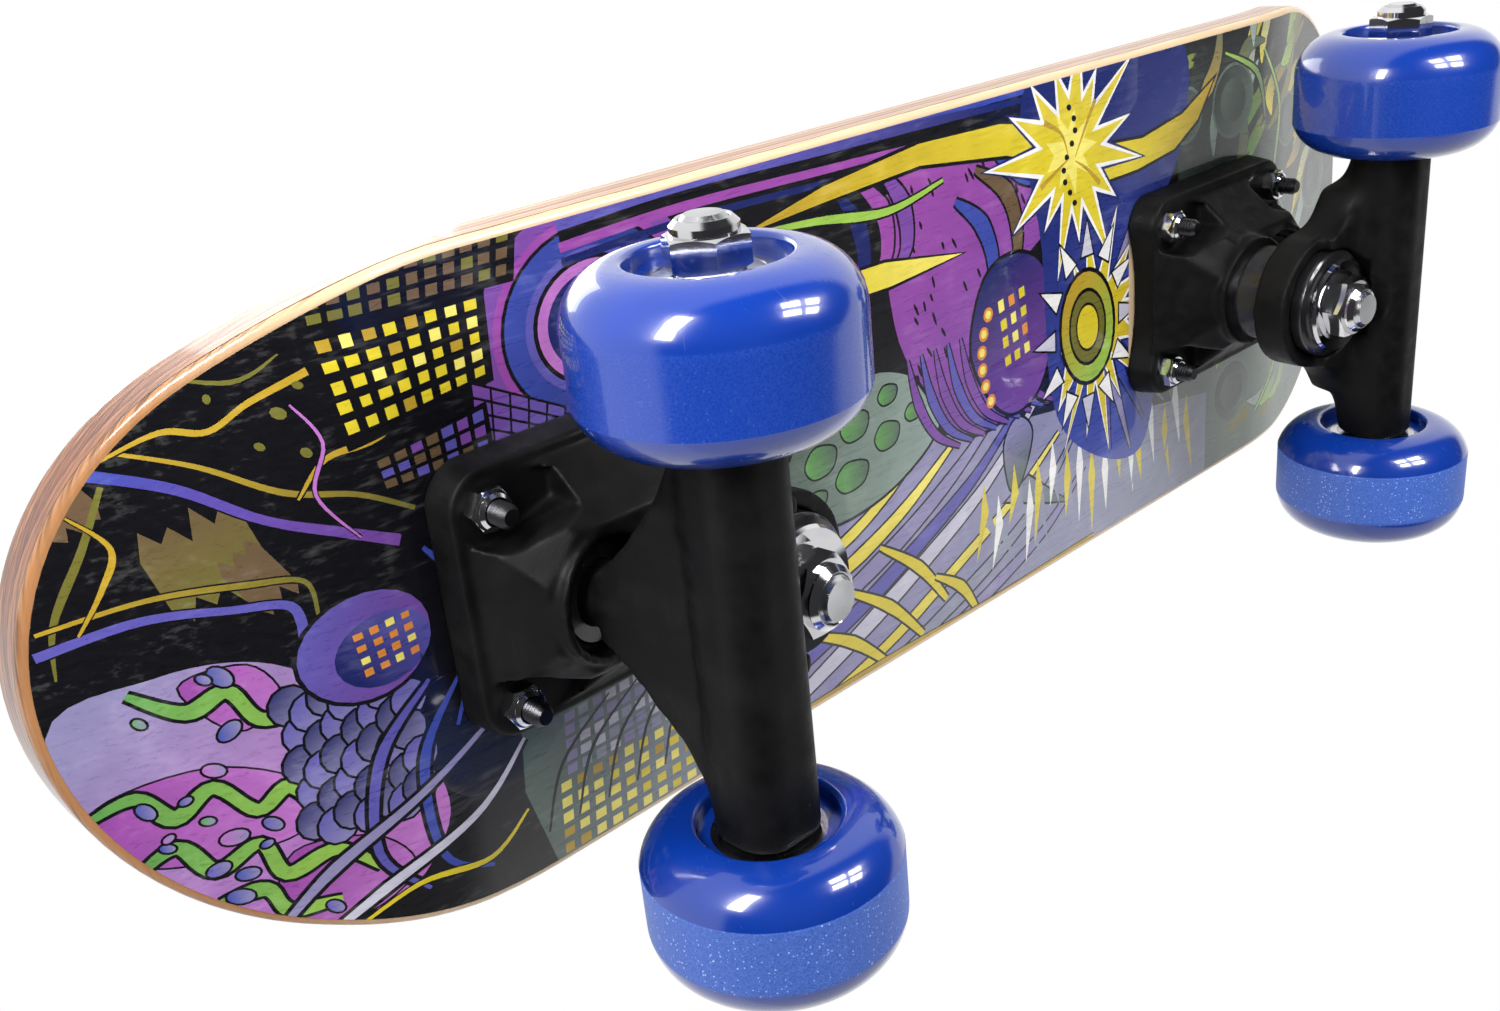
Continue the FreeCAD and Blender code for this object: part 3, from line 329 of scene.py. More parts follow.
@dataclass
class Artwork:
    """The printed design: a night city with lightning bursts, in millimetres on the flattened underside.

    Attributes:
        seed: the seed of its unevenness.
        patches: its areas of ink, each painted over those before it.
    """

    seed: int = 11
    patches: list[Patch] = field(default_factory=list)

    def __post_init__(self) -> None:
        """Make the source of unevenness."""
        self.rng = random.Random(self.seed)

    def paint(self, outline: Sequence[Point], ink: Ink | None, fade: Ink | None = None,
              ends: tuple[Point, Point] = ((0.0, 0.0), (1.0, 0.0))) -> None:
        """Add one area of ink.

        Args:
            outline: its corners.
            ink: its ink, or None for no print.
            fade: the ink that it turns into, if any.
            ends: where the fade starts and ends.
        """
        self.patches.append(Patch(tuple(outline), ink, fade, ends))

    def line(self, path: Sequence[Point], ink: Ink, widths: Sequence[float], edge: float = 0.6,
             smooth: bool = True, fade: Ink | None = None) -> None:
        """Add a brush line with a black line round it.

        Args:
            path: the points along its middle.
            ink: its ink.
            widths: its widths along it.
            edge: how wide the black line is.
            smooth: True for a curved line.
            fade: the ink that it turns into towards its end.
        """
        ends = (path[0], path[-1])
        if edge > 0:
            self.paint(stroke(path, [w + 2 * edge for w in widths], smooth), Ink.BLACK)
        self.paint(stroke(path, widths, smooth), ink, fade, ends)

    def ragged(self, centre: Point, size: Point, turn: float, teeth: int, ink: Ink,
               fade: Ink | None = None) -> None:
        """Add a dry brush mark with torn ends.

        Args:
            centre: its middle.
            size: its half length and half width.
            turn: its direction in degrees.
            teeth: how many bristle marks end it.
            ink: its ink.
            fade: the ink that it turns into along it.
        """
        c, s = math.cos(math.radians(turn)), math.sin(math.radians(turn))
        local: list[Point] = []
        for end in (1, -1):
            for i in range(2 * teeth + 1):
                share = i / teeth - 1
                reach = self.rng.uniform(0.72, 1.0) if i % 2 else self.rng.uniform(0.35, 0.66)
                local.append((end * size[0] * reach, -end * size[1] * -share))
        corners = [(centre[0] + x * c - y * s, centre[1] + x * s + y * c) for x, y in local]
        far = size[0]
        ends = ((centre[0] - far * c, centre[1] - far * s), (centre[0] + far * c, centre[1] + far * s))
        self.paint(corners, ink, fade, ends)

    def star(self, centre: Point, spikes: Sequence[tuple[float, float]], inner: float, ink: Ink, rim: float,
             fade: Ink | None = None) -> None:
        """Add a jagged star with a white and a navy line round it.

        Args:
            centre: its middle.
            spikes: each spike's direction in degrees and its length.
            inner: how far its notches lie from the middle.
            ink: its ink.
            rim: how wide the white line is.
            fade: the ink that it turns into away from the middle.
        """
        shape = burst(centre, spikes, inner, self.rng)
        self.paint(grown(shape, rim + 0.7), Ink.NAVY)
        self.paint(grown(shape, rim), Ink.WHITE)
        self.paint(shape, ink, fade, (centre, (centre[0] + 3 * inner, centre[1])))

    def skyline(self) -> None:
        """The lit tower blocks and their neighbours."""
        block = [(-165, -67), (-122, -67), (-124, -58), (-165, -59)]
        self.paint(grown(block, 1.0), Ink.BLACK)
        self.patches += windows(block, 11, 3, [Ink.TAN, Ink.TAN, Ink.OLIVE], 0.34, self.rng)
        self.paint([(-166, -58), (-130, -57), (-131, -40), (-162, -36)], Ink.BLACK)
        self.patches += windows([(-165, -57.4), (-131, -56.6), (-132, -41), (-162, -38)], 8, 5,
                                [Ink.YELLOW, Ink.YELLOW, Ink.GOLD, Ink.LEMON], 0.42, self.rng)
        side = [Vector(corner) for corner in ((-136, -41), (-116, -30), (-119, -19), (-137, -27))]
        self.paint([tuple(corner) for corner in side], Ink.PURPLE, Ink.VIOLET, ((-136, -40), (-116, -24)))
        for k in range(6):
            t = k / 5
            for ends in ((side[0].lerp(side[1], t), side[3].lerp(side[2], t)),
                         (side[0].lerp(side[3], t), side[1].lerp(side[2], t))):
                self.paint(stroke([tuple(end) for end in ends], [0.5], False), Ink.BLACK)
        wall = [(-158, -33), (-134, -36), (-134, -27), (-157, -27)]
        self.paint(grown(wall, 0.6), Ink.BLACK)
        self.patches += windows(wall, 7, 3, [Ink.PURPLE, Ink.VIOLET, Ink.TAN], 0.3, self.rng)
        roofs = [(-104, -20), (-88, -30), (-70, -26), (-58, -36), (-38, -30), (-32, -14), (-60, -8),
                 (-100, -6)]
        self.paint(roofs, Ink.NAVY, Ink.PURPLE, ((-104, -20), (-32, -20)))
        for x, y, w, h in ((-98, -26, 9, 18), (-85, -34, 10, 24), (-71, -30, 9, 20), (-58, -40, 12, 28),
                           (-42, -34, 9, 20)):
            tower = [(x, y), (x + w, y - 2), (x + w - 1, y + h), (x - 1, y + h)]
            self.patches += lined(tower, self.rng.choice([Ink.NAVY, Ink.PURPLE, Ink.BLUE]), 0.6)
            self.patches += windows([(x + 1, y + 2), (x + w - 1, y + 1), (x + w - 2, y + h - 2),
                                     (x + 0.4, y + h - 2)],
                                    3, 5, [Ink.YELLOW, Ink.ORANGE, Ink.GOLD, Ink.TAN], 0.45, self.rng)

    def tail_beams(self) -> None:
        """Crossing beams and dry brush marks on the black tail."""
        self.ragged((-206, -37), (5.5, 4.5), 60, 3, Ink.TAN)
        self.ragged((-188, -23), (11, 8.5), 75, 4, Ink.TAN, Ink.OLIVE)
        self.ragged((-181, -18), (8, 4), 62, 3, Ink.TAN)
        self.line([(-214, -8), (-212, -18), (-205, -30), (-200, -40)], Ink.OLIVE, [0.38, 1.5, 0.9], 0)
        self.line([(-216, -13), (-200, -15), (-186, -13), (-177, -11), (-176, -4)], Ink.VIOLET,
                  [1.8, 1.5, 1.95], 0.3)
        self.line([(-215, -17), (-198, -18.5), (-183, -17), (-174, -15), (-173, -8)], Ink.GOLD,
                  [0.75, 1.2, 0.68], 0.3, fade=Ink.OLIVE)
        self.line([(-203, -43), (-190, -37), (-178, -28), (-166, -22), (-156, -17)], Ink.BLUE,
                  [2.1, 1.65, 2.25], 0.3, fade=Ink.PURPLE)
        self.line([(-199, -46), (-186, -40), (-174, -32), (-162, -28), (-152, -22)], Ink.GOLD,
                  [0.6, 1.2, 0.9], 0.3, fade=Ink.OLIVE)
        self.line([(-200, -44), (-190, -47), (-183, -45.5), (-176, -49), (-166, -52)], Ink.GOLD,
                  [0.45, 1.2, 1.05, 1.5], 0.3)
        self.line([(-206, -36), (-201, -29), (-204, -22), (-209, -15)], Ink.GOLD, [0.38, 1.2, 0.45], 0.2)
        self.line([(-190, -57), (-178, -53), (-170, -56)], Ink.OLIVE, [0.3, 0.9, 0.3], 0)
        self.line([(-172, -30), (-166, -36), (-156, -37), (-146, -42)], Ink.GOLD, [0.45, 1.35, 0.6], 0.3)
        self.line([(-170, -47), (-166, -39), (-169, -30), (-163, -20)], Ink.PINK, [0.38, 0.75, 0.38], 0.2)
        for x, y, w in ((-172, -46, 1.5), (-176, -41, 1.0), (-169, -38, 1.2), (-182, -51, 0.9),
                        (-168, -50, 1.0)):
            self.paint(oval((x, y), (w, w * 0.7), self.rng.uniform(0, 90), 9), Ink.OLIVE)

    def marsh(self) -> None:
        """The glowing marsh in the tail's lower corner."""
        ground = rounded([(-218, 2), (-200, -4), (-184, -2), (-172, 8), (-160, 26), (-158, 44), (-176, 56),
                          (-214, 40)])
        self.patches += lined(ground, Ink.LILAC, 0.8, Ink.PINK, ((-214, 4), (-176, 46)))
        for corners in ([(-214, 18), (-196, 16), (-182, 24), (-184, 34), (-204, 34), (-214, 28)],
                        [(-186, 38), (-172, 40), (-166, 50), (-178, 56), (-190, 50)],
                        [(-197, -1), (-186, -2), (-182, 6), (-190, 10)]):
            self.patches += lined(rounded(corners), Ink.MAGENTA, 0.4, Ink.PINK, (corners[0], corners[2]))
        for path in ([(-216, 20), (-208, 18), (-203, 24), (-196, 20), (-190, 27), (-184, 24), (-178, 31),
                      (-168, 30)],
                     [(-212, 34), (-204, 30), (-199, 37), (-191, 34), (-188, 42), (-179, 40), (-172, 47)],
                     [(-205, -2), (-197, 4), (-190, 2), (-186, 9), (-178, 10), (-172, 18)],
                     [(-200, 44), (-192, 44), (-189, 50), (-180, 51)]):
            self.line(path, Ink.GREEN, [1.2, 3.2, 2.2, 3.0, 1.4], 0.7, fade=Ink.LIME)
        for k in range(26):
            x, y = self.rng.uniform(-212, -166), self.rng.uniform(-2, 54)
            size = self.rng.uniform(1.0, 2.6)
            stone = oval((x, y), (size, size * 0.62), self.rng.uniform(-40, 60), 14)
            self.patches += lined(stone, self.rng.choice([Ink.BLUE, Ink.GREEN, Ink.PINK, Ink.VIOLET]), 0.45,
                                  Ink.LILAC, ((x - size, y), (x + size, y)))

    def dome(self) -> None:
        """A tiled dome with small lit windows near the tail truck."""
        for row in range(7):
            for k in range(5):
                x = -181 + 3.2 * row + (k % 2) * 1.2
                y = 8 + 6.2 * k + 2.2 * (row % 2)
                shape = oval((x, y), (3.4, 3.9), 20, 12)
                self.paint(grown(shape, 0.5), Ink.BLACK)
                self.paint(shape, Ink.VIOLET if (row + k) % 2 else Ink.NAVY, Ink.LILAC,
                           ((x - 3, y - 3), (x + 3, y + 4)))
        self.patches += lined(oval((-166, 1), (12.5, 10.5), -10, 24), Ink.VIOLET, 0.8, Ink.PURPLE,
                              ((-178, -4), (-154, 8)))
        self.paint(oval((-163, 2.5), (9.4, 7.2), -10, 20), Ink.NAVY, Ink.VIOLET, ((-170, 6), (-156, -4)))
        self.patches += windows([(-169, -2.5), (-156.5, -4), (-156, 6), (-168, 7.5)], 4, 4,
                                [Ink.LEMON, Ink.ORANGE, Ink.YELLOW], 0.46, self.rng)
        for path, ink in (([(-156, 12), (-168, 24), (-172, 44), (-164, 56)], Ink.VIOLET),
                          ([(-150, 14), (-160, 28), (-160, 50), (-150, 58)], Ink.BLUE),
                          ([(-196, 58), (-180, 44), (-160, 34), (-140, 24)], Ink.LILAC),
                          ([(-190, 62), (-172, 52), (-150, 44), (-138, 34)], Ink.PALE),
                          ([(-152, -14), (-146, -4), (-146, 10), (-152, 24)], Ink.BLUE)):
            self.line(path, ink, [0.8, 2.2, 1.6, 0.8], 0.8)
        self.line([(-182, 60), (-166, 54), (-150, 56), (-140, 50)], Ink.YELLOW, [0.5, 1.4, 0.6], 0.3)

    def arcs(self) -> None:
        """Rings of colour that run out along the long edge."""
        rings = ((29, Ink.BLACK), (27.6, Ink.PURPLE), (24, Ink.MAGENTA), (22.2, Ink.BLACK), (21.4, Ink.BLUE),
                 (16.6, Ink.VIOLET), (14.8, Ink.BLACK), (13.8, Ink.PINK), (11.4, Ink.NAVY), (8.6, Ink.TAN),
                 (6.4, Ink.BLACK), (3.6, Ink.MAGENTA))
        for radius, ink in rings:
            self.paint(oval((-106, -45), (radius, radius * 0.86), 0, 40), ink,
                       Ink.NAVY if ink is Ink.BLUE else None, ((-124, -50), (-84, -40)))
        for start, ink, wide in ((-70, Ink.BLACK, 16), (-68.8, Ink.BLUE, 6.6), (-66, Ink.VIOLET, 3.0),
                                 (-61.4, Ink.MAGENTA, 2.0), (-58.6, Ink.NAVY, 1.6)):
            self.paint(stroke([(-112, start + 1), (-80, start), (-40, start + 1), (0, start + 2),
                               (34, start + 3)],
                              [wide, wide, wide * 0.9, wide * 0.7, wide * 0.4]), ink,
                       Ink.NAVY if ink is Ink.VIOLET else None, ((-60, start), (20, start)))

    def jungle(self) -> None:
        """The magenta canopy in the middle."""
        field_edge = rounded([(-18, -54), (20, -57), (38, -46), (40, -30), (30, -22), (34, -6), (24, 14),
                              (6, 16), (-8, 2), (-20, -20)])
        self.patches += lined(field_edge, Ink.MAGENTA, 1.0, Ink.PURPLE, ((-10, -54), (20, 14)))
        for k in range(46):
            x, y = self.rng.uniform(-14, 32), self.rng.uniform(-52, 2)
            turn = self.rng.uniform(55, 80)
            self.paint(oval((x, y), (self.rng.uniform(1.0, 2.1), 0.45), turn, 8), Ink.BLACK)
        for k in range(9):
            x = -16 + 5 * k
            self.line([(x, -10), (x + 3, 2), (x + 9, 12), (x + 18, 18)], Ink.VIOLET if k % 2 else Ink.PURPLE,
                      [0.6, 2.8, 2.2, 0.8], 0.45)
        for path, ink in (([(-30, -56), (-22, -48), (-21, -38), (-27, -30)], Ink.MAGENTA),
                          ([(-22, -57), (-15, -48), (-14, -38), (-19, -32)], Ink.PURPLE),
                          ([(-36, -54), (-30, -46), (-29, -36), (-34, -30)], Ink.NAVY),
                          ([(4, -44), (14, -36), (18, -24), (14, -12)], Ink.BLUE),
                          ([(12, -50), (24, -42), (28, -30), (26, -18)], Ink.TAN),
                          ([(20, -52), (34, -44), (44, -46)], Ink.BLUE)):
            self.line(path, ink, [1.4, 5.0, 4.2, 1.0], 0.7)
        self.patches += lined([(-46, -36), (-22, -35.5), (6, -31), (-20, -29.5), (-44, -30)], Ink.YELLOW, 0.8,
                              Ink.LEMON, ((-40, -33), (4, -31)))
        self.line([(-70, -52), (-44, -50), (-20, -47), (0, -50)], Ink.LIME, [0.6, 2.2, 0.8], 0.5)

    def hall(self) -> None:
        """The navy hall with glowing windows."""
        hall = rounded([(14, -22), (26, -26), (38, -20), (42, -4), (36, 12), (24, 16), (14, 8), (8, -6)])
        self.patches += lined(hall, Ink.NAVY, 1.0, Ink.PURPLE, ((14, -20), (34, 16)))
        self.patches += windows([(18, -16), (31, -18), (33, 2), (21, 4)], 3, 4,
                                [Ink.ORANGE, Ink.LEMON, Ink.YELLOW], 0.44, self.rng)
        for k in range(6):
            lamp = (12 + 0.5 * (k - 2.5) ** 2, -13 + 4.6 * k)
            self.paint(oval(lamp, (1.9, 1.9)), Ink.ORANGE)
            self.paint(oval(lamp, (1.1, 1.1)), Ink.LEMON)

    def bursts(self) -> None:
        """Two lightning bursts and the streaks that leave them."""
        self.paint(rounded([(34, -68), (100, -68), (104, -40), (88, -14), (92, 20), (84, 46), (60, 40),
                            (42, 20), (38, -24)]), Ink.NAVY, Ink.BLUE, ((50, -60), (84, 44)))
        for angle in range(-60, 96, 13):
            reach = self.rng.uniform(34, 50)
            tip = (64 + reach * math.cos(math.radians(angle)), 4 + reach * math.sin(math.radians(angle)))
            self.line([(64, 4), tip], self.rng.choice([Ink.VIOLET, Ink.BLUE, Ink.LILAC]), [6.0, 3.4, 0.5],
                      0.5, smooth=False)
        streak = [(-66, -52), (-40, -57), (-8, -60), (22, -59), (38, -56), (40, -47), (24, -51), (-8, -55),
                  (-40, -53.5)]
        self.patches += lined(streak, Ink.YELLOW, 0.9, Ink.GOLD, ((30, -52), (-60, -54)))
        lower = [(60, -46), (84, -44), (104, -47), (120, -54), (112, -44), (100, -38), (82, -36), (64, -36)]
        self.patches += lined(lower, Ink.YELLOW, 0.9, Ink.GOLD, ((80, -42), (120, -50)))
        self.star((52, -46),
                  [(-176, 34), (-152, 27), (-131, 24), (-108, 22), (-84, 29), (-62, 20), (-38, 32), (-12, 24),
                   (12, 30), (38, 22), (62, 34), (84, 21), (103, 30), (126, 19), (150, 27)], 12.5,
                  Ink.YELLOW, 1.1)
        self.paint(burst((51, -47), [(a, self.rng.uniform(9, 13)) for a in range(0, 360, 40)], 6, self.rng),
                   Ink.LEMON)
        for k in range(9):
            self.paint(oval((50.5 + 2.6 * math.sin(k * 0.9), -58 + 3.1 * k), (1.05, 0.8), 20, 10), Ink.BLACK)
        for path in ([(40, -56), (47, -52), (50, -46)], [(62, -58), (57, -51), (53, -45)],
                     [(64, -36), (58, -41), (53, -44)], [(38, -40), (45, -43), (50, -45)]):
            self.line(path, Ink.GOLD, [1.6, 0.9, 0.3], 0.0)
        self.star((61, 2),
                  [(-96, 28), (-70, 30), (-47, 24), (-24, 22), (-2, 25), (22, 22), (44, 30), (63, 26),
                   (80, 38), (97, 30), (114, 34), (131, 24), (165, 15), (215, 15), (244, 20)], 13,
                  Ink.YELLOW, 0.9, Ink.GOLD)
        self.paint(oval((58, 2), (13, 17), -12, 26), Ink.BLACK)
        self.paint(oval((58, 2), (11.8, 15.8), -12, 26), Ink.GOLD, Ink.LIME, ((48, -6), (66, 14)))
        for reach, ink in ((8.6, Ink.BLACK), (7.8, Ink.OLIVE), (5.4, Ink.BLACK), (4.8, Ink.YELLOW)):
            self.paint(oval((58, 2), (reach, reach * 1.3), -12, 24), ink)
        for k in range(12):
            turn = math.radians(30 * k)
            across, up = math.cos(turn), math.sin(turn)
            root_x, root_y = 58 + 15 * across, 2 + 20 * up
            shard = [(root_x - 2.6 * up, root_y + 2.6 * across), (root_x + 9 * across, root_y + 9 * up),
                     (root_x + 2.6 * up, root_y - 2.6 * across)]
            self.patches += lined(shard, Ink.WHITE if k % 3 else Ink.PALE, 0.6)

    def ribbons(self) -> None:
        """Sweeping ribbons and spikes along the lower edge."""
        self.paint([(-60, 20), (-20, 10), (20, 18), (48, 22), (64, 30), (84, 34), (120, 40), (120, 70),
                    (-64, 70)], Ink.LILAC, Ink.GREY, ((-50, 30), (90, 60)))
        bands = (([(-64, 62), (-40, 54), (-14, 44), (12, 32), (34, 16)], Ink.PALE, 5.0),
                 ([(-62, 54), (-38, 47), (-14, 38), (8, 28), (28, 14)], Ink.VIOLET, 4.4),
                 ([(-60, 46), (-38, 40), (-16, 32), (4, 22), (22, 10)], Ink.LILAC, 4.8),
                 ([(-56, 38), (-36, 33), (-18, 26), (0, 16)], Ink.YELLOW, 3.8),
                 ([(-60, 32), (-40, 27), (-24, 20), (-8, 10)], Ink.YELLOW, 3.0),
                 ([(-50, 66), (-26, 60), (0, 50), (24, 40), (44, 28)], Ink.YELLOW, 3.2),
                 ([(-30, 68), (-8, 62), (16, 54), (36, 44), (50, 32)], Ink.GREY, 4.0),
                 ([(-6, 68), (16, 62), (38, 54), (56, 42)], Ink.LILAC, 3.6))
        for path, ink, wide in bands:
            self.line(path, ink, [wide * 0.7, wide, wide * 0.8, wide * 0.3], 0.6,
                      fade=Ink.LEMON if ink is Ink.YELLOW else None)
        for a, b in (((-58, 46), (-30, 66)), ((-44, 40), (-16, 64)), ((-30, 34), (-6, 58)),
                     ((-10, 50), (6, 66))):
            self.line([a, ((a[0] + b[0]) / 2 + 2, (a[1] + b[1]) / 2 - 1), b], Ink.YELLOW, [1.0, 3.0, 1.6],
                      0.6)
        cool = rounded([(-58, 2), (-44, -8), (-26, -10), (-10, -2), (-6, 10), (-24, 20), (-46, 22),
                        (-58, 14)])
        self.patches += lined(cool, Ink.MOSS, 0.8, Ink.MIST, ((-56, 0), (-10, 14)))
        for x, y, a, b in ((-48, 5, 5, 3.6), (-36, 0, 4.6, 3.4), (-38, 12, 5.4, 3.4), (-25, 6, 4.2, 3.2),
                           (-24, -4, 3.2, 2.2), (-50, 14, 3, 2), (-15, 3, 3, 2)):
            self.patches += lined(rounded([(x - a, y), (x - a * 0.3, y - b), (x + a, y - b * 0.5),
                                           (x + a * 0.7, y + b * 0.8), (x - a * 0.5, y + b)]),
                                  Ink.GREEN, 0.5, Ink.MOSS, ((x - a, y), (x + a, y)))
        fin = [(20, 40), (30, 36), (48, 50), (36, 46)]
        self.patches += lined(fin, Ink.GREY, 0.7, Ink.MOSS, ((20, 38), (48, 50)))
        self.patches += lined(rounded([(20, 24), (26, 18), (32, 24), (27, 36), (22, 37)]), Ink.LILAC, 0.7,
                              Ink.MOSS, ((22, 20), (27, 36)))
        for k in range(17):
            x = 18 + 5.2 * k + self.rng.uniform(-1, 1)
            top = self.rng.uniform(33, 44)
            lean = (x - 60) * 0.16
            low = top + self.rng.uniform(9, 22)
            ink = Ink.WHITE if k % 2 else Ink.YELLOW
            self.paint(grown([(x, low), (x - 1.6 + lean, top + 3), (x + lean, top),
                              (x + 1.7 + lean, top + 3)], 0.4), Ink.GREY)
            self.paint([(x + 1.6 * lean, low), (x - 1.6 + lean, top + 3), (x + lean, top - 6),
                        (x + 1.7 + lean, top + 3)], ink)
        self.line([(-70, 65.5), (-30, 65), (10, 66), (60, 65)], Ink.GOLD, [0.8, 1.6, 1.0], 0.3)

    def lattice(self) -> None:
        """The lit lattice beside the tail truck."""
        base = [(-138, 28), (-96, 26), (-58, 32), (-58, 70), (-134, 70), (-140, 46)]
        self.paint(base, Ink.MOSS, Ink.GREY, ((-138, 40), (-64, 50)))
        self.patches += windows([(-128, 30), (-62, 28), (-60, 48), (-130, 48)], 18, 6,
                                [Ink.LILAC, Ink.PALE, Ink.GREY], 0.3, self.rng)
        self.patches += windows([(-132, 48), (-60, 48), (-60, 66), (-134, 66)], 17, 5,
                                [Ink.YELLOW, Ink.LEMON, Ink.GOLD], 0.42, self.rng)
        for k in range(5):
            x = -136 + 8 * k
            self.line([(x, 58), (x + 6, 44), (x + 20, 34)], Ink.BLACK, [0.5, 0.9, 0.4], 0.0)

    def nose_brush(self) -> None:
        """Loose leaves and brush marks on the nose."""
        self.paint([(96, -70), (225, -70), (225, 70), (112, 70), (98, 30), (104, -20)], Ink.MOSS, Ink.BLACK,
                   ((120, 40), (150, -60)))
        for k in range(26):
            x, y = self.rng.uniform(100, 176), self.rng.uniform(-62, 58)
            if y > 8 and x < 112:
                continue
            ink = self.rng.choice([Ink.OLIVE, Ink.GOLD, Ink.YELLOW, Ink.TAN, Ink.GREEN, Ink.LIME])
            self.ragged((x, y), (self.rng.uniform(6, 13), self.rng.uniform(1.6, 3.2)),
                        self.rng.uniform(-50, -10), 2, ink, Ink.OLIVE)
        for k in range(44):
            x, y = self.rng.uniform(108, 204), self.rng.uniform(-60, 58)
            reach, bow = self.rng.uniform(14, 30), self.rng.uniform(-7, 7)
            turn = math.radians(self.rng.uniform(-75, -25))
            ahead, aside = (math.cos(turn), math.sin(turn)), (-math.sin(turn), math.cos(turn))
            path = [(x + ahead[0] * reach * t + aside[0] * bow * t * (1 - t) * 4,
                     y + ahead[1] * reach * t + aside[1] * bow * t * (1 - t) * 4)
                    for t in (0.0, 0.3, 0.65, 1.0)]
            ink = self.rng.choice([Ink.OLIVE, Ink.GOLD, Ink.YELLOW, Ink.MIST, Ink.MIST, Ink.LIME])
            self.line(path, ink, [0.5, self.rng.uniform(3, 6), self.rng.uniform(3, 6), 0.4], 0.25,
                      fade=self.rng.choice([Ink.MOSS, Ink.OLIVE, Ink.MIST]))
        for x, y, r in ((106, -46, 7.5), (131, -46, 10.5), (135, 44, 10.0), (168, -34, 8.0), (172, 22, 9.0),
                        (196, -10, 10.0)):
            self.patches += lined(oval((x, y), (r, r * 0.94), 10, 26), Ink.BLACK, 0.9, Ink.MOSS,
                                  ((x - r, y - r), (x + r, y + r)), Ink.MOSS)
            self.paint(oval((x, y), (r * 0.66, r * 0.6), 10, 22), Ink.MOSS, Ink.BLACK,
                       ((x - r, y), (x + r, y)))
        for path in ([(148, -58), (160, -40), (158, -18), (170, -4)], [(150, 56), (164, 44), (170, 28)],
                     [(186, 34), (200, 18), (206, 0)], [(180, -48), (192, -34), (204, -26)],
                     [(126, -60), (144, -52), (150, -38)]):
            self.line(path, Ink.LIME, [0.6, 1.8, 0.8], 0.6, fade=Ink.MOSS)

    def draw(self, gaps: Iterable[Sequence[Point]]) -> list[Patch]:
        """Draw the whole design.

        Args:
            gaps: outlines where nothing is printed.

        Returns:
            All its patches in the order of printing.
        """
        self.paint([(-225, -72), (225, -72), (225, 72), (-225, 72)], Ink.BLACK)
        for part in (self.nose_brush, self.ribbons, self.lattice, self.tail_beams, self.marsh, self.dome,
                     self.arcs, self.skyline, self.jungle, self.hall, self.bursts):
            part()
        for gap in gaps:
            self.paint(gap, None)
        return self.patches


class NodeTree:
    """A short way to write a node tree."""

    def __init__(self, tree: bpy.types.NodeTree) -> None:
        """Keep the tree.

        Args:
            tree: the tree to write in.
        """
        self.tree = tree
        self.column = 0

    def add(self, kind: str, settings: dict | None = None, **inputs: object) -> bpy.types.Node:
        """Add a node.

        Args:
            kind: its type without the common prefix.
            settings: its own properties by name.
            **inputs: a value or an output for each input socket, spaces written as underscores.

        Returns:
            The node.
        """
        node = self.tree.nodes.new("ShaderNode" + kind)
        node.location = (180 * self.column, -140 * (self.column % 4))
        self.column += 1
        for name, value in (settings or {}).items():
            setattr(node, name, value)
        for name, value in inputs.items():
            self.feed(node, name, value)
        return node

    def feed(self, node: bpy.types.Node, name: str, value: object) -> None:
        """Set or link one input.

        Args:
            node: the node.
            name: the socket's name with underscores, or in_ and its number.
            value: a value or an output socket.
        """
        key: int | str = int(name[3:]) if name.startswith("in_") else name.replace("_", " ")
        socket = node.inputs[key]
        if isinstance(value, bpy.types.NodeSocket):
            self.tree.links.new(value, socket)
        else:
            socket.default_value = value

    def math(self, kind: str, a: object, b: object = 0.5, clamp: bool = False) -> bpy.types.NodeSocket:
        """Add one sum.

        Args:
            kind: the operation.
            a: its first value.
            b: its second value.
            clamp: True to hold the result between 0 and 1.

        Returns:
            The result's socket.
        """
        return self.add("Math", {"operation": kind, "use_clamp": clamp}, in_0=a, in_1=b).outputs[0]

    def mixed(self, share: object, a: object, b: object, kind: str = "MIX") -> bpy.types.NodeSocket:
        """Mix two colours.

        Args:
            share: how much of the second.
            a: the first colour.
            b: the second colour.
            kind: the way they mix.

        Returns:
            The mixed colour's socket.
        """
        node = self.add("Mix", {"data_type": "RGBA", "blend_type": kind})
        self.feed(node, "in_0", share)
        self.feed(node, "in_6", a)
        self.feed(node, "in_7", b)
        return node.outputs[2]

    def bands(self, value: object, stops: Sequence[tuple[float, Colour]]) -> bpy.types.NodeSocket:
        """Turn a value into a colour, in hard steps.

        Args:
            value: the value's socket.
            stops: each step's start and colour.

        Returns:
            The colour's socket.
        """
        node = self.add("ValToRGB", None, Fac=value)
        node.color_ramp.interpolation = "CONSTANT"
        parts = node.color_ramp.elements
        while len(parts) < len(stops):
            parts.new(0.5)
        for part, (place, shade) in zip(parts, stops):
            part.position = place
            part.color = shade
        return node.outputs[0]

    def between(self, value: object, low: float, high: float, to_low: float = 0.0,
                to_high: float = 1.0) -> bpy.types.NodeSocket:
        """Stretch a range of values, held at its ends.

        Args:
            value: the value's socket.
            low: the range's start.
            high: the range's end.
            to_low: what the start becomes.
            to_high: what the end becomes.

        Returns:
            The stretched value's socket.
        """
        return self.add("MapRange", None, Value=value, From_Min=low, From_Max=high, To_Min=to_low,
                        To_Max=to_high).outputs[0]


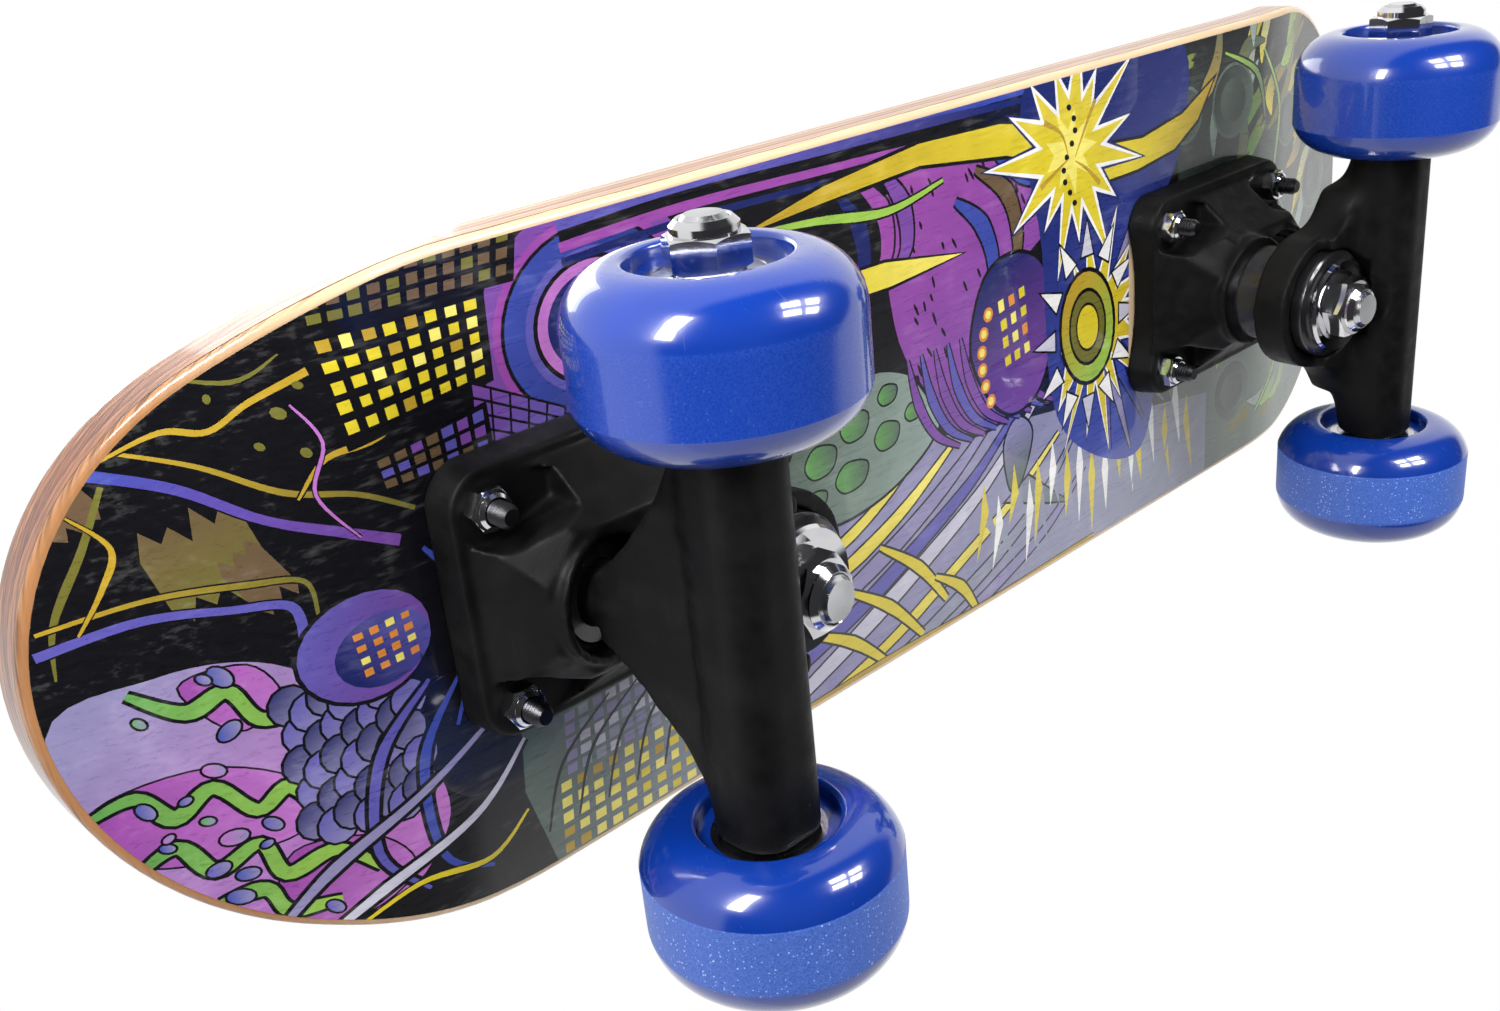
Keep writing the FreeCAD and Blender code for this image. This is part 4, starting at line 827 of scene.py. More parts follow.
@dataclass(frozen=True)
class Effect:
    """A shared effect: a node group with named inputs and outputs.

    Attributes:
        name: the group's name.
        takes: each input's name and its usual value.
        gives: the outputs' names.
        write: what fills the group, from its tree and input sockets to its outputs by name.
    """

    name: str
    takes: tuple[tuple[str, float], ...]
    gives: tuple[str, ...]
    write: Callable[[NodeTree, dict[str, bpy.types.NodeSocket]], dict[str, bpy.types.NodeSocket]]

    def group(self) -> bpy.types.NodeTree:
        """The group, made when it is first asked for.

        Returns:
            The group's tree.
        """
        if self.name in bpy.data.node_groups:
            return bpy.data.node_groups[self.name]
        tree = bpy.data.node_groups.new(self.name, "ShaderNodeTree")
        tree.interface.new_socket("Vector", in_out="INPUT", socket_type="NodeSocketVector")
        for name, usual in self.takes:
            tree.interface.new_socket(name, in_out="INPUT",
                                      socket_type="NodeSocketFloat").default_value = usual
        for name in self.gives:
            tree.interface.new_socket(name, in_out="OUTPUT", socket_type="NodeSocketFloat")
        entry = tree.nodes.new("NodeGroupInput")
        leave = tree.nodes.new("NodeGroupOutput")
        sockets = {name: entry.outputs[name] for name in ("Vector", *(t[0] for t in self.takes))}
        for name, socket in self.write(NodeTree(tree), sockets).items():
            tree.links.new(socket, leave.inputs[name])
        return tree

    def use(self, nodes: NodeTree, vector: object, **values: float) -> bpy.types.Node:
        """Place the group in a material.

        Args:
            nodes: the material's tree.
            vector: the coordinates it works on.
            **values: its inputs, spaces written as underscores.

        Returns:
            The group's node.
        """
        node = nodes.add("Group", {"node_tree": self.group()})
        nodes.feed(node, "Vector", vector)
        for name, value in values.items():
            nodes.feed(node, name, value)
        return node


def _grain(n: NodeTree, given: dict[str, bpy.types.NodeSocket]) -> dict[str, bpy.types.NodeSocket]:
    """Two sizes of unevenness, for moulded, cast and sprayed skins.

    Args:
        n: the group's tree.
        given: its input sockets by name.

    Returns:
        Its outputs by name.
    """
    fine = n.add("TexNoise", None, Vector=given["Vector"], Scale=given["Scale"], Detail=3.0, Roughness=0.6)
    broad = n.add("TexNoise", None, Vector=given["Vector"], Scale=n.math("MULTIPLY", given["Scale"], 0.12),
                  Detail=2.0)
    low = n.math("MULTIPLY", broad.outputs[0], given["Broad"])
    return {"Height": n.math("ADD", fine.outputs[0], low), "Fine": fine.outputs[0], "Broad": broad.outputs[0]}


def _scuffs(n: NodeTree, given: dict[str, bpy.types.NodeSocket]) -> dict[str, bpy.types.NodeSocket]:
    """Short rubbed streaks that follow no one direction.

    Args:
        n: the group's tree.
        given: its input sockets by name.

    Returns:
        Its outputs by name.
    """
    bent = n.add("TexNoise", None, Vector=given["Vector"], Scale=n.math("MULTIPLY", given["Scale"], 0.2),
                 Detail=1.0)
    moved = n.add("VectorMath", {"operation": "MULTIPLY_ADD"}, in_0=bent.outputs["Color"],
                  in_1=(0.01, 0.01, 0.01), in_2=given["Vector"])
    pulled = n.add("Mapping", None, Vector=moved.outputs[0], Rotation=(0.4, 0.9, 0.3), Scale=(1.0, 0.06, 1.0))
    streak = n.add("TexNoise", None, Vector=pulled.outputs[0], Scale=given["Scale"], Detail=2.0,
                   Roughness=0.7)
    where = n.between(bent.outputs[0], 0.5, 0.66)
    lines = n.math("GREATER_THAN", streak.outputs[0], given["Edge"])
    return {"Mask": n.math("MULTIPLY", where, lines), "Smear": n.math("MULTIPLY", where, streak.outputs[0])}


def _speckle(n: NodeTree, given: dict[str, bpy.types.NodeSocket]) -> dict[str, bpy.types.NodeSocket]:
    """Scattered dots of uneven size, for dust, chips and grit.

    Args:
        n: the group's tree.
        given: its input sockets by name.

    Returns:
        Its outputs by name.
    """
    cells = n.add("TexVoronoi", {"feature": "F1"}, Vector=given["Vector"], Scale=given["Scale"],
                  Randomness=1.0)
    tone = n.add("SeparateColor", None, Color=cells.outputs["Color"]).outputs[0]
    size = n.math("MULTIPLY", given["Size"], tone)
    dot = n.math("LESS_THAN", cells.outputs["Distance"], size)
    kept = n.math("LESS_THAN", tone, given["Share"])
    return {"Mask": n.math("MULTIPLY", dot, kept)}


def _bend(n: NodeTree, given: dict[str, bpy.types.NodeSocket]) -> dict[str, bpy.types.NodeSocket]:
    """How far the board's underside has risen at a place along it.

    Args:
        n: the group's tree.
        given: its input sockets by name.

    Returns:
        Its output by name.
    """
    along = n.add("SeparateXYZ", None, Vector=given["Vector"]).outputs[0]
    past = n.math("MAXIMUM", n.math("SUBTRACT", n.math("MULTIPLY", along, given["End"]), given["Start"]), 0.0)
    reach = n.math("MULTIPLY", given["Radius"], n.math("SINE", given["Angle"]))
    inside = n.math("MINIMUM", past, reach)
    square = n.math("SUBTRACT", n.math("MULTIPLY", given["Radius"], given["Radius"]),
                    n.math("MULTIPLY", inside, inside))
    curve = n.math("SUBTRACT", given["Radius"], n.math("SQRT", square))
    slope = n.math("MULTIPLY", n.math("SUBTRACT", past, inside), n.math("TANGENT", given["Angle"]))
    return {"Rise": n.math("ADD", curve, slope)}


def _brushed(n: NodeTree, given: dict[str, bpy.types.NodeSocket]) -> dict[str, bpy.types.NodeSocket]:
    """Bristle marks and pooled colour of a painted area.

    Args:
        n: the group's tree.
        given: its input sockets by name.

    Returns:
        Its outputs by name.
    """
    turned = n.add("Mapping", None, Vector=given["Vector"], Rotation=(0.0, 0.0, 0.5), Scale=(0.12, 1.0, 1.0))
    bristle = n.add("TexNoise", {"noise_dimensions": "3D"}, Vector=turned.outputs[0], Scale=given["Scale"],
                    Detail=4.0, Roughness=0.65)
    pool = n.add("TexNoise", None, Vector=given["Vector"], Scale=n.math("MULTIPLY", given["Scale"], 0.07),
                 Detail=3.0, Distortion=1.2)
    both = n.math("ADD", n.math("MULTIPLY", bristle.outputs[0], 0.45),
                  n.math("MULTIPLY", pool.outputs[0], 0.55))
    return {"Shade": n.between(both, 0.32, 0.68), "Bristle": bristle.outputs[0]}


GRAIN = Effect("skin grain", (("Scale", 2000.0), ("Broad", 0.5)), ("Height", "Fine", "Broad"), _grain)
SCUFFS = Effect("rubbed streaks", (("Scale", 400.0), ("Edge", 0.6)), ("Mask", "Smear"), _scuffs)
SPECKLE = Effect("scattered dots", (("Scale", 1500.0), ("Size", 0.3), ("Share", 0.3)), ("Mask",), _speckle)
BEND = Effect("board bend", (("End", 1.0), ("Start", 0.15), ("Radius", 0.08), ("Angle", 0.37)), ("Rise",),
              _bend)
BRUSHED = Effect("brush marks", (("Scale", 900.0),), ("Shade", "Bristle"), _brushed)


@dataclass(frozen=True)
class Finish:
    """A surface finish that makes its own material.

    Attributes:
        name: the material's name.
        base: its main colour.
        rough: its roughness.
        metallic: 1 for bare metal.
        coat: how much clear coat it has.
        coat_rough: that coat's roughness.
        depth: how deep its unevenness is, in metres.
        gloss: how strongly it mirrors at its surface, 0.5 for most solids.
    """

    name: str
    base: Colour
    rough: float = 0.4
    metallic: float = 0.0
    coat: float = 0.0
    coat_rough: float = 0.03
    depth: float = 0.00002
    gloss: float = 0.5

    def material(self) -> bpy.types.Material:
        """The finish's material, made when it is first asked for.

        Returns:
            The material.
        """
        made = bpy.data.materials.get(self.name)
        if made is not None:
            return made
        made = bpy.data.materials.new(self.name)
        made.use_nodes = True
        made.diffuse_color = self.base
        nodes = NodeTree(made.node_tree)
        made.node_tree.nodes.clear()
        end = nodes.add("OutputMaterial")
        shader = nodes.add("BsdfPrincipled", None, Base_Color=self.base, Roughness=self.rough,
                           Metallic=self.metallic, Coat_Weight=self.coat, Coat_Roughness=self.coat_rough,
                           Specular_IOR_Level=self.gloss)
        nodes.tree.links.new(shader.outputs[0], end.inputs[0])
        place = nodes.add("TexCoord").outputs["Object"]
        self.surface(nodes, shader, place)
        return made

    def bump(self, nodes: NodeTree, shader: bpy.types.Node, height: object, strength: float = 1.0) -> None:
        """Feed a height to the shader's normal.

        Args:
            nodes: the material's tree.
            shader: its shader.
            height: the height's socket.
            strength: how much of it shows.
        """
        made = nodes.add("Bump", None, Strength=strength, Distance=self.depth, Height=height)
        nodes.feed(shader, "Normal", made.outputs[0])

    def surface(self, nodes: NodeTree, shader: bpy.types.Node, place: bpy.types.NodeSocket) -> None:
        """Write what changes over the surface.

        Args:
            nodes: the material's tree.
            shader: its shader.
            place: the coordinates.
        """
        grain = GRAIN.use(nodes, place)
        self.bump(nodes, shader, grain.outputs["Height"])


@dataclass(frozen=True)
class MouldedPlastic(Finish):
    """Fine-grained moulded nylon with soft rubbed marks."""

    def surface(self, nodes: NodeTree, shader: bpy.types.Node, place: bpy.types.NodeSocket) -> None:
        """Write the grain, the rubbed marks and the dust.

        Args:
            nodes: the material's tree.
            shader: its shader.
            place: the coordinates.
        """
        grain = GRAIN.use(nodes, place, Scale=2300.0, Broad=1.1)
        scuffs = SCUFFS.use(nodes, place, Scale=420.0, Edge=0.6)
        dust = SPECKLE.use(nodes, place, Scale=900.0, Size=0.24, Share=0.24)
        pale = tuple(min(c * 2.4 + 0.006, 1.0) for c in self.base[:3]) + (1.0,)
        mottled = nodes.mixed(nodes.between(grain.outputs["Broad"], 0.35, 0.7), self.base,
                              tuple(c * 1.5 for c in self.base[:3]) + (1.0,))
        worn = nodes.mixed(nodes.math("MULTIPLY", scuffs.outputs["Smear"], 0.5), mottled, pale)
        dusty = nodes.mixed(nodes.math("MULTIPLY", dust.outputs["Mask"], 0.4), worn, pale)
        nodes.feed(shader, "Base_Color", dusty)
        satin = nodes.between(grain.outputs["Broad"], 0.3, 0.7, self.rough - 0.07, self.rough + 0.09)
        nodes.feed(shader, "Roughness",
                   nodes.math("SUBTRACT", satin, nodes.math("MULTIPLY", scuffs.outputs["Mask"], 0.09)))
        self.bump(nodes, shader, grain.outputs["Height"], 0.9)


@dataclass(frozen=True)
class CastUrethane(Finish):
    """Glossy cast wheel urethane with a tread that is ground flat and speckled with grit.

    Attributes:
        grit: how much grit the tread has picked up.
        tread_rough: the tread's roughness.
        tread_coat: how much of the coat is left on the tread.
        rim: the wheel's radius, at which the tread lies.
        axles: the two axles' places along the board.
        height: the axles' height.
        edge: how far inside the rim the tread's look starts, and where it is whole.
    """

    grit: float = 0.3
    tread_rough: float = 0.42
    tread_coat: float = 0.1
    rim: float = 25.0 * MM
    axles: tuple[float, float] = (-122.0 * MM, 118.0 * MM)
    height: float = 25.0 * MM
    edge: tuple[float, float] = (0.00012, 0.00004)

    def surface(self, nodes: NodeTree, shader: bpy.types.Node, place: bpy.types.NodeSocket) -> None:
        """Write the clouds, fine scratches and dust of the cast skin, and the ground tread.

        Args:
            nodes: the material's tree.
            shader: its shader.
            place: the coordinates.
        """
        parts = nodes.add("SeparateXYZ", None, Vector=place)
        along = nodes.math("MINIMUM",
                           *(nodes.math("ABSOLUTE", nodes.math("SUBTRACT", parts.outputs[0], x))
                             for x in self.axles))
        up = nodes.math("SUBTRACT", parts.outputs[2], self.height)
        square = nodes.math("ADD", nodes.math("MULTIPLY", along, along), nodes.math("MULTIPLY", up, up))
        tread = nodes.between(nodes.math("SQRT", square), self.rim - self.edge[0], self.rim - self.edge[1])
        grain = GRAIN.use(nodes, place, Scale=260.0, Broad=1.4)
        skin = GRAIN.use(nodes, place, Scale=2600.0, Broad=0.8)
        scuffs = SCUFFS.use(nodes, place, Scale=500.0, Edge=0.63)
        dust = SPECKLE.use(nodes, place, Scale=700.0, Size=0.16, Share=0.12)
        grit = SPECKLE.use(nodes, place, Scale=1500.0, Size=0.5, Share=0.62)
        pits = SPECKLE.use(nodes, place, Scale=620.0, Size=0.3, Share=0.22)
        deep = tuple(c * 0.84 for c in self.base[:3]) + (1.0,)
        cloud = nodes.mixed(nodes.between(grain.outputs["Broad"], 0.35, 0.68), deep, self.base)
        clean = nodes.mixed(nodes.math("MULTIPLY", dust.outputs["Mask"], 0.3), cloud, colour("8fa3d8"))
        ground = nodes.mixed(nodes.between(skin.outputs["Fine"], 0.35, 0.7, 0.3 * self.grit, self.grit),
                             self.base, colour("5c83d6"))
        gritty = nodes.mixed(nodes.math("MULTIPLY", grit.outputs["Mask"], self.grit), ground,
                             colour("a9c2f2"))
        worn = nodes.mixed(nodes.math("MULTIPLY", pits.outputs["Mask"], 0.5 * self.grit), gritty, deep)
        nodes.feed(shader, "Base_Color", nodes.mixed(tread, clean, worn))
        marks = nodes.math("MULTIPLY", nodes.math("ADD", scuffs.outputs["Mask"], dust.outputs["Mask"]), 0.18)
        sheen = nodes.between(grain.outputs["Broad"], 0.3, 0.7, self.rough - 0.03, self.rough + 0.05)
        glossy = nodes.math("ADD", sheen, marks)
        matt = nodes.between(skin.outputs["Fine"], 0.35, 0.65, self.tread_rough - 0.06,
                             self.tread_rough + 0.12)
        nodes.feed(shader, "Roughness",
                   nodes.add("Mix", {"data_type": "FLOAT"}, in_0=tread, in_2=glossy, in_3=matt).outputs[0])
        nodes.feed(shader, "Coat_Weight",
                   nodes.math("SUBTRACT", self.coat,
                              nodes.math("MULTIPLY", tread, self.coat * (1.0 - self.tread_coat))))
        rise = nodes.math("MULTIPLY", grain.outputs["Height"], 0.35)
        rough_rise = nodes.math("MULTIPLY", nodes.math("ADD", skin.outputs["Height"], grit.outputs["Mask"]),
                                nodes.math("MULTIPLY", tread, self.grit))
        self.bump(nodes, shader, nodes.math("ADD", rise, rough_rise), 0.7)


@dataclass(frozen=True)
class PlatedSteel(Finish):
    """Plated steel with faint haze and hairline marks."""

    def surface(self, nodes: NodeTree, shader: bpy.types.Node, place: bpy.types.NodeSocket) -> None:
        """Write the haze and the hairlines.

        Args:
            nodes: the material's tree.
            shader: its shader.
            place: the coordinates.
        """
        grain = GRAIN.use(nodes, place, Scale=600.0, Broad=1.6)
        scuffs = SCUFFS.use(nodes, place, Scale=900.0, Edge=0.58)
        stain = tuple(c * 0.72 for c in self.base[:3]) + (1.0,)
        nodes.feed(shader, "Base_Color",
                   nodes.mixed(nodes.between(grain.outputs["Broad"], 0.45, 0.75), self.base, stain))
        haze = nodes.between(grain.outputs["Broad"], 0.3, 0.72, self.rough * 0.7, self.rough * 1.5)
        nodes.feed(shader, "Roughness",
                   nodes.math("ADD", haze, nodes.math("MULTIPLY", scuffs.outputs["Mask"], 0.12)))
        self.bump(nodes, shader, grain.outputs["Height"], 0.6)


@dataclass(frozen=True)
class BushingRubber(Finish):
    """Glossy moulded bushing rubber."""

    def surface(self, nodes: NodeTree, shader: bpy.types.Node, place: bpy.types.NodeSocket) -> None:
        """Write the grain and the bloom.

        Args:
            nodes: the material's tree.
            shader: its shader.
            place: the coordinates.
        """
        grain = GRAIN.use(nodes, place, Scale=900.0, Broad=1.2)
        bloom = tuple(c * 2.0 + 0.004 for c in self.base[:3]) + (1.0,)
        nodes.feed(shader, "Base_Color",
                   nodes.mixed(nodes.between(grain.outputs["Broad"], 0.45, 0.75), self.base, bloom))
        nodes.feed(shader, "Roughness",
                   nodes.between(grain.outputs["Broad"], 0.3, 0.7, self.rough - 0.06, self.rough + 0.08))
        self.bump(nodes, shader, grain.outputs["Height"], 0.5)


@dataclass(frozen=True)
class GritPaper(Finish):
    """Black grip paper: sharp grit in resin."""

    def surface(self, nodes: NodeTree, shader: bpy.types.Node, place: bpy.types.NodeSocket) -> None:
        """Write the grit, its glints and the trodden patches.

        Args:
            nodes: the material's tree.
            shader: its shader.
            place: the coordinates.
        """
        grit = nodes.add("TexVoronoi", {"feature": "F1"}, Vector=place, Scale=1500.0)
        sparks = SPECKLE.use(nodes, place, Scale=1900.0, Size=0.4, Share=0.2)
        trodden = nodes.add("TexNoise", None, Vector=place, Scale=22.0, Detail=4.0)
        worn = nodes.mixed(nodes.between(trodden.outputs[0], 0.45, 0.7), self.base,
                           tuple(c * 1.9 for c in self.base[:3]) + (1.0,))
        nodes.feed(shader, "Base_Color",
                   nodes.mixed(nodes.math("MULTIPLY", sparks.outputs["Mask"], 0.75), worn,
                               (0.16, 0.16, 0.17, 1.0)))
        nodes.feed(shader, "Roughness",
                   nodes.math("SUBTRACT", self.rough, nodes.math("MULTIPLY", sparks.outputs["Mask"], 0.45)))
        self.bump(nodes, shader, nodes.math("SUBTRACT", 1.0, grit.outputs["Distance"]))


@dataclass(frozen=True)
class LaminatedMaple(Finish):
    """Lacquered veneers, seen on edge and on the face.

    Attributes:
        rest: the height of the flat underside.
        thick: the board's thickness.
        stained: how far the tail's end is darkened by use, from its tip inwards.
    """

    rest: float = 0.0785
    thick: float = 0.011
    stained: tuple[float, float] = (-0.19, -0.15)

    def surface(self, nodes: NodeTree, shader: bpy.types.Node, place: bpy.types.NodeSocket) -> None:
        """Write the veneers by their height above the bent underside, with their grain and lacquer.

        Args:
            nodes: the material's tree.
            shader: its shader.
            place: the coordinates.
        """
        tail, nose = (BEND.use(nodes, place, End=end, Start=start, Radius=radius, Angle=angle).outputs[0]
                      for end, (start, radius, angle) in ((-1.0, TAIL_BEND), (1.0, NOSE_BEND)))
        height = nodes.add("SeparateXYZ", None, Vector=place).outputs[2]
        above = nodes.math("SUBTRACT", nodes.math("SUBTRACT", height, self.rest),
                           nodes.math("ADD", tail, nose))
        wander = nodes.add("TexNoise", None, Vector=place, Scale=70.0, Detail=2.0)
        uneven = nodes.math("MULTIPLY", nodes.math("SUBTRACT", wander.outputs[0], 0.5), 0.06)
        level = nodes.math("ADD", nodes.math("DIVIDE", above, self.thick), uneven)
        pale, tan, rust, dark = colour("d9bd98"), colour("b98a5c"), colour("96592f"), colour("3b2113")
        stops = ((0.0, pale), (0.10, dark), (0.125, tan), (0.235, rust), (0.27, colour("c29366")),
                 (0.37, dark), (0.40, rust), (0.49, tan), (0.52, colour("a8703f")), (0.64, dark),
                 (0.665, colour("c79b70")), (0.77, rust), (0.80, tan), (0.885, dark), (0.91, pale))
        veneer = nodes.bands(level, stops)
        fibres = nodes.add("Mapping", None, Vector=place, Scale=(0.06, 0.06, 2.4))
        fibre = nodes.add("TexNoise", None, Vector=fibres.outputs[0], Scale=900.0, Detail=4.0, Roughness=0.6)
        long_grain = nodes.add("Mapping", None, Vector=place, Scale=(0.05, 1.0, 1.0))
        streak = nodes.add("TexNoise", None, Vector=long_grain.outputs[0], Scale=520.0, Detail=4.0,
                           Distortion=0.4)
        end = nodes.between(nodes.add("SeparateXYZ", None, Vector=place).outputs[0], *self.stained, 1.0, 0.0)
        normal = nodes.add("NewGeometry").outputs["Normal"]
        facing = nodes.math("ABSOLUTE", nodes.add("SeparateXYZ", None, Vector=normal).outputs[2])
        on_edge = nodes.between(facing, 0.45, 0.85, 1.0, 0.15)
        worn = nodes.math("ADD", nodes.math("MULTIPLY", end, 0.5), 0.35)
        lines = nodes.math("MULTIPLY", nodes.between(fibre.outputs[0], 0.45, 0.62),
                           nodes.math("MULTIPLY", on_edge, worn))
        warm = nodes.mixed(lines, veneer, colour("4a2412"))
        lit = nodes.mixed(nodes.between(streak.outputs[0], 0.5, 0.72, 0.0, 0.1), warm, colour("e6c9a2"))
        nodes.feed(shader, "Base_Color",
                   nodes.mixed(nodes.math("MULTIPLY", end, 0.9), lit,
                               nodes.mixed(1.0, lit, colour("b58a63"), "MULTIPLY")))
        nodes.feed(shader, "Roughness",
                   nodes.between(fibre.outputs[0], 0.3, 0.7, self.rough - 0.05, self.rough + 0.12))
        self.bump(nodes, shader,
                  nodes.math("ADD", fibre.outputs[0], nodes.math("MULTIPLY", streak.outputs[0], 0.2)), 0.5)


@dataclass(frozen=True)
class PrintedInk(Finish):
    """Printed and lacquered picture, its inks held on the mesh."""

    def surface(self, nodes: NodeTree, shader: bpy.types.Node, place: bpy.types.NodeSocket) -> None:
        """Write the inks with their brush marks under the lacquer.

        Args:
            nodes: the material's tree.
            shader: its shader.
            place: the coordinates.
        """
        ink = nodes.add("Attribute", {"attribute_name": "ink"}).outputs["Color"]
        marks = BRUSHED.use(nodes, place, Scale=900.0)
        grain = GRAIN.use(nodes, place, Scale=1400.0, Broad=1.2)
        deep = nodes.mixed(1.0, ink, (0.76, 0.75, 0.79, 1.0), "MULTIPLY")
        light = nodes.mixed(0.16, ink, (0.85, 0.85, 0.8, 1.0), "SCREEN")
        shaded = nodes.mixed(marks.outputs["Shade"], deep, ink)
        lifted = nodes.mixed(nodes.between(marks.outputs["Shade"], 0.6, 1.0, 0.0, 0.35), shaded, light)
        flecks = SPECKLE.use(nodes, place, Scale=520.0, Size=0.2, Share=0.1)
        nodes.feed(shader, "Base_Color",
                   nodes.mixed(nodes.math("MULTIPLY", flecks.outputs["Mask"], 0.25), lifted,
                               (0.3, 0.3, 0.32, 1.0)))
        nodes.feed(shader, "Roughness",
                   nodes.between(marks.outputs["Bristle"], 0.3, 0.7, self.rough - 0.06, self.rough + 0.08))
        self.bump(nodes, shader,
                  nodes.math("ADD", grain.outputs["Broad"],
                             nodes.math("MULTIPLY", marks.outputs["Bristle"], 0.4)), 0.5)


def new_piece(name: str, mesh: bpy.types.Mesh, body: str) -> bpy.types.Object:
    """Put a mesh in the scene and let it ride on a body.

    Args:
        name: the piece's name.
        mesh: its mesh.
        body: the body that carries it.

    Returns:
        The piece.
    """
    piece = bpy.data.objects.new(name, mesh)
    bpy.context.scene.collection.objects.link(piece)
    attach(piece, body)
    return piece


def dress(node: str, *finishes: Finish) -> None:
    """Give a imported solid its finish.

    Args:
        node: the solid's name.
        *finishes: a finish for each material slot, the last one again where there are more slots.
    """
    slots = frame["nodes"][node].material_slots
    for i, holder in enumerate(slots):
        holder.material = finishes[min(i, len(finishes) - 1)].material()


def settled(piece: bpy.types.Object) -> bpy.types.Mesh:
    """The mesh that a piece's modifiers make, which leave the piece.

    Args:
        piece: the piece.

    Returns:
        The mesh.
    """
    graph = bpy.context.evaluated_depsgraph_get()
    mesh = bpy.data.meshes.new_from_object(piece.evaluated_get(graph))
    piece.modifiers.clear()
    return mesh


def softened(name: str, node: str, body: str, grain: float, passes: int, finish: Finish,
             blends: Sequence[tuple[Point3, float]] = ()) -> bpy.types.Object:
    """A moulding with the soft edges and blended corners of its real casting, in place of a crisp solid.

    Args:
        name: the piece's name.
        node: the solid that it stands for.
        body: the body that carries it.
        grain: how fine its surface is made.
        passes: how much its edges are eased.
        finish: its finish.
        blends: places where its shapes run into each other, each with the blend's reach.

    Returns:
        The piece.
    """
    solid = frame["nodes"][node]
    mesh = solid.data.copy()
    mesh.name = name
    mesh.materials.clear()
    made = bmesh.new()
    made.from_mesh(mesh)
    bmesh.ops.remove_doubles(made, verts=made.verts, dist=WELD)
    made.to_mesh(mesh)
    made.free()
    piece = new_piece(name, mesh, body)
    remesh = piece.modifiers.new("skin", "REMESH")
    remesh.mode = "VOXEL"
    remesh.voxel_size = grain
    remesh.use_smooth_shade = True
    ease = piece.modifiers.new("ease", "SMOOTH")
    ease.factor = 0.5
    ease.iterations = passes
    eased = settled(piece)
    if blends:
        piece.data = eased
        weights = piece.vertex_groups.new(name="blend")
        for vertex in eased.vertices:
            near = max(1.0 - (vertex.co - Vector(place)).length / reach for place, reach in blends)
            if near > 0.0:
                weights.add([vertex.index], min(1.0, 2.0 * near), "REPLACE")
        blend = piece.modifiers.new("blend", "SMOOTH")
        blend.factor = 0.5
        blend.iterations = 200
        blend.vertex_group = weights.name
        eased = settled(piece)
        piece.vertex_groups.clear()
    eased.name = name
    eased.materials.clear()
    eased.materials.append(finish.material())
    piece.data = eased
    for face in eased.polygons:
        face.use_smooth = True
    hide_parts(node)
    return piece


def giving(name: str, node: str, fixed: Point3, turned: Point3, rings: int,
           finish: Finish) -> bpy.types.Object:
    """A rubber block pressed between two bodies, its walls cut into rings, in place of a rigid solid.

    Args:
        name: the piece's name.
        node: the solid that it stands for.
        fixed: the middle of its fixed face.
        turned: the middle of its turned face.
        rings: how many cuts its walls get.
        finish: its finish.

    Returns:
        The piece.
    """
    mesh = frame["nodes"][node].data.copy()
    mesh.name = name
    mesh.materials.clear()
    mesh.materials.append(finish.material())
    start, end = Vector(fixed), Vector(turned)
    made = bmesh.new()
    made.from_mesh(mesh)
    bmesh.ops.remove_doubles(made, verts=made.verts, dist=WELD)
    for k in range(1, rings + 1):
        bmesh.ops.bisect_plane(made, geom=made.verts[:] + made.edges[:] + made.faces[:], dist=1e-7,
                               plane_co=start.lerp(end, k / (rings + 1)), plane_no=(end - start).normalized())
    made.to_mesh(mesh)
    made.free()
    mesh.shade_smooth()
    mesh.set_sharp_from_angle(angle=CREASE)
    piece = bpy.data.objects.new(name, mesh)
    bpy.context.scene.collection.objects.link(piece)
    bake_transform(piece)
    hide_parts(node)
    return piece


def report(piece: str, detail: str) -> None:
    """Say that a piece is made.

    Args:
        piece: its name.
        detail: what it is.
    """
    LOG.info("%s: %s", piece, detail)


